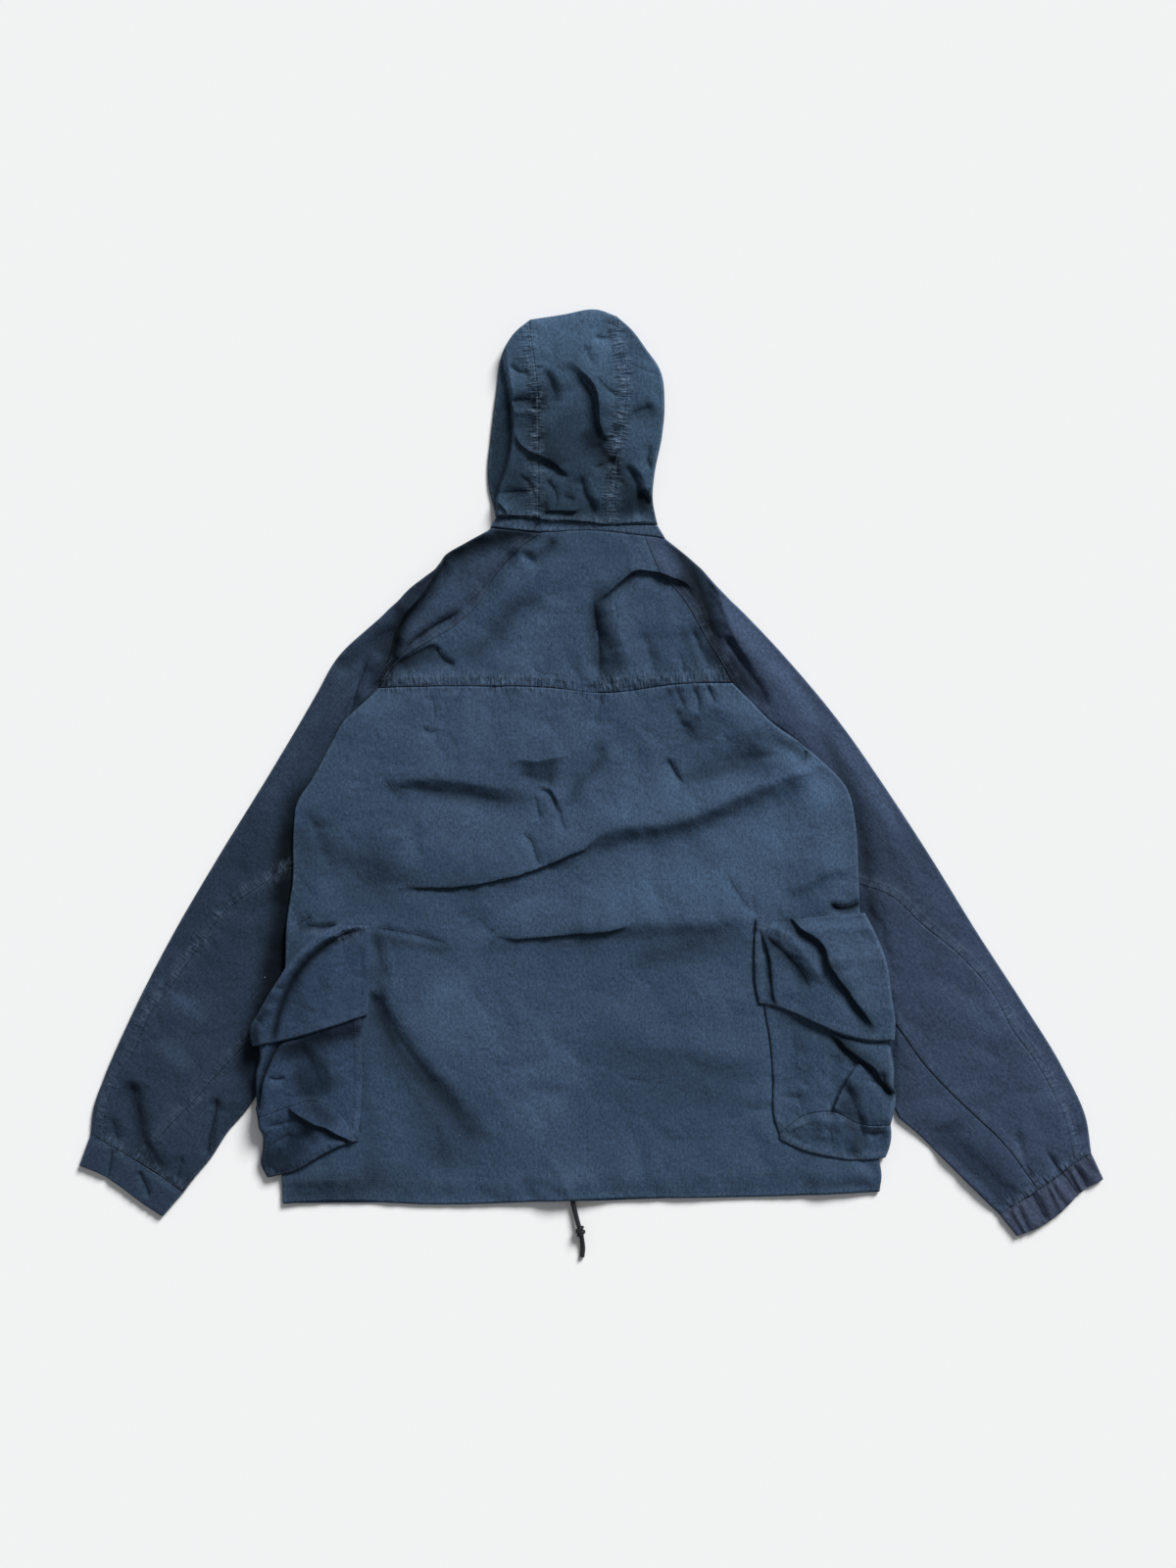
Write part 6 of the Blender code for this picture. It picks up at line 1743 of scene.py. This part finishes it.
def offset_line(points, side, distance):
    """The line through a table, moved sideways by a distance, as close points."""
    line = smooth_line(points, 8)
    way = unit(np.gradient(line, axis=0))
    left = np.column_stack([-way[:, 1], way[:, 0]])
    return line + side * distance * left


def highest(x, y, names):
    """The uppermost place of the named pieces' outer faces at a place in plan."""
    start = Vector((x * TO_METRES, y * TO_METRES, 0.2))
    found, facing = None, None
    for name in names:
        place, normal, _, _ = OUTER_FACES[name].ray_cast(start, Vector((0.0, 0.0, -1.0)))
        if place is not None and (found is None or place.z > found.z):
            found, facing = place, normal
    return found, facing


def stitch_rows():
    """Every row of topstitching: the pieces that carry it, and its line."""
    body = ["back_yoke", "back_body"]
    sleeves = [f"sleeve_{side}_{part}" for side in GRAINS for part in ("upper", "elbow", "under")]
    hood = ["hood_left", "hood_centre", "hood_right", "neck_band", "back_yoke"]
    for table, names in (
        (UPPER_SEAMS, [*sleeves, "cuff_left", "cuff_right", *body]),
        (BODY_SEAMS[1:], body),
        (HOOD_SEAMS + NECK_SEAMS, hood),
        (FLAP_LEFT_SEAMS, ["pocket_left_flap"]),
        (BAG_LEFT_SEAMS, ["pocket_left_bag", "pocket_left_gusset"]),
        (FLAP_RIGHT_SEAMS, ["pocket_right_flap"]),
        (BAG_RIGHT_SEAMS, ["pocket_right_bag", "pocket_right_gusset"]),
    ):
        for _, side, _, _, _, _, distances, points in table:
            for distance in distances:
                yield names, offset_line(points, side, distance)


def topstitching():
    rows = bmesh.new()
    for names, line in stitch_rows():
        run = run_along(line)
        row = bmesh.new()
        for begin in np.arange(ROW_END, run[-1] - STITCH - ROW_END, STITCH_PITCH):
            ends = []
            for along in (begin, begin + STITCH):
                x, y = (np.interp(along, run, line[:, axis]) for axis in (0, 1))
                ends.append(highest(x, y, names))
            (first, up), (second, _) = ends
            if first is None or second is None or (second - first).length > 2.0 * STITCH * TO_METRES:
                continue
            top, _ = highest(first.x / TO_METRES, first.y / TO_METRES, OUTER_FACES)
            if top.z - first.z > COVERED * TO_METRES:
                continue
            add_stitch(row, first, second, up)
        made = bpy.data.meshes.new("stitch_row")
        row.to_mesh(made)
        row.free()
        rows.from_mesh(made)
        bpy.data.meshes.remove(made)
    made = object_of(rows, "topstitching", THREAD_FINISH)
    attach(made, "root")


def add_stitch(mesh, first, second, up):
    way = (second - first).normalized()
    side = up.cross(way).normalized()
    lift = way.cross(side)
    turn = Matrix((way, side, lift)).transposed().to_4x4()
    middle = (first + second) / 2 + lift * STITCH_LIFT * TO_METRES
    thick = THREAD / 2 * TO_METRES
    size = Matrix.Diagonal((STITCH / 2 * TO_METRES, thick, thick, 1.0))
    on_end = Matrix.Rotation(math.pi / 2, 4, "Y")
    matrix = Matrix.Translation(middle) @ turn @ size @ on_end
    bmesh.ops.create_uvsphere(mesh, u_segments=5, v_segments=4, radius=1.0, matrix=matrix)


def thread():
    material, tree, shader = new_material("topstitch thread")
    place = add_node(tree, "ShaderNodeTexCoord").outputs["Object"]
    change = noise_node(tree, place, 60.0, 3.0)
    roughness = math_node(tree, "MULTIPLY_ADD", change, 0.2, 0.55)
    tree.links.new(blend(tree, change, tint(40, 50, 66), tint(72, 87, 108)), shader.inputs["Base Color"])
    tree.links.new(roughness, shader.inputs["Roughness"])
    return material


CORD_FINISH = braided()
THREAD_FINISH = thread()

# The view: straight down on the garment, as the photo.
VIEW_CENTRE = (-0.004, -0.01265)
VIEW_HEIGHT = 3.01
VIEW_LENS = 58.7
KEY_FROM = (1.45, 2.3, 1.75)  # from beyond the hood and the right shoulder, low over the cloth
KEY_STRENGTH = 4.4
KEY_SOFTNESS = 0.4
ROOM_LIGHT = 0.24
FLOOR_HALF = 6.0
FLOOR_HEIGHT = -0.0005


def camera():
    lens = bpy.data.cameras.new("camera")
    lens.lens = VIEW_LENS
    lens.sensor_width = 36.0
    lens.clip_end = 50.0
    view = placed("camera", lens)
    view.location = (*VIEW_CENTRE, VIEW_HEIGHT)
    bpy.context.scene.camera = view


def lamp(name, place, strength, softness):
    """A soft even light from far away."""
    light = bpy.data.lights.new(name, "SUN")
    light.energy = strength
    light.angle = softness
    made = placed(name, light)
    made.location = place
    made.rotation_euler = (-Vector(place)).to_track_quat("-Z", "Y").to_euler()


def studio():
    mesh = bmesh.new()
    bmesh.ops.create_grid(mesh, x_segments=1, y_segments=1, size=FLOOR_HALF)
    bmesh.ops.translate(mesh, vec=(0.0, 0.0, FLOOR_HEIGHT), verts=mesh.verts[:])
    material, _, shader = new_material("pale floor")
    shader.inputs["Base Color"].default_value = (0.9, 0.9, 0.9, 1.0)
    shader.inputs["Roughness"].default_value = 0.9
    shader.inputs["Specular IOR Level"].default_value = 0.0
    object_of(mesh, "floor", material)
    lamp("key", KEY_FROM, KEY_STRENGTH, KEY_SOFTNESS)
    world = bpy.data.worlds.new("studio")
    world.use_nodes = True
    background = world.node_tree.nodes["Background"]
    background.inputs["Color"].default_value = (0.95, 0.97, 1.0, 1.0)
    background.inputs["Strength"].default_value = ROOM_LIGHT
    bpy.context.scene.world = world
    bpy.context.scene.view_settings.view_transform = "Standard"


def build():
    camera()
    drawcord()
    back_pieces()
    front_pieces()
    sleeve(
        "left", RAGLAN_LEFT, TUCK_LEFT, HIDDEN_LEFT, INNER_LEFT, OUTER_LEFT,
        ELBOW_SEAM_LEFT, UNDER_SEAM_LEFT, CUFF_SEAM_LEFT, (0.275, 0.589, 0.62),
    )
    sleeve(
        "right", RAGLAN_RIGHT, TUCK_RIGHT, HIDDEN_RIGHT, INNER_RIGHT, OUTER_RIGHT,
        ELBOW_SEAM_RIGHT, UNDER_SEAM_RIGHT, CUFF_SEAM_RIGHT, (0.235, 0.548, 0.5),
    )
    cuff("left", CUFF_SEAM_LEFT, CUFF_END_LEFT, "left sleeve")
    cuff("right", CUFF_SEAM_RIGHT, CUFF_END_RIGHT, "right cuff")
    hood_pieces()
    pocket_pieces()
    topstitching()
    studio()


build()
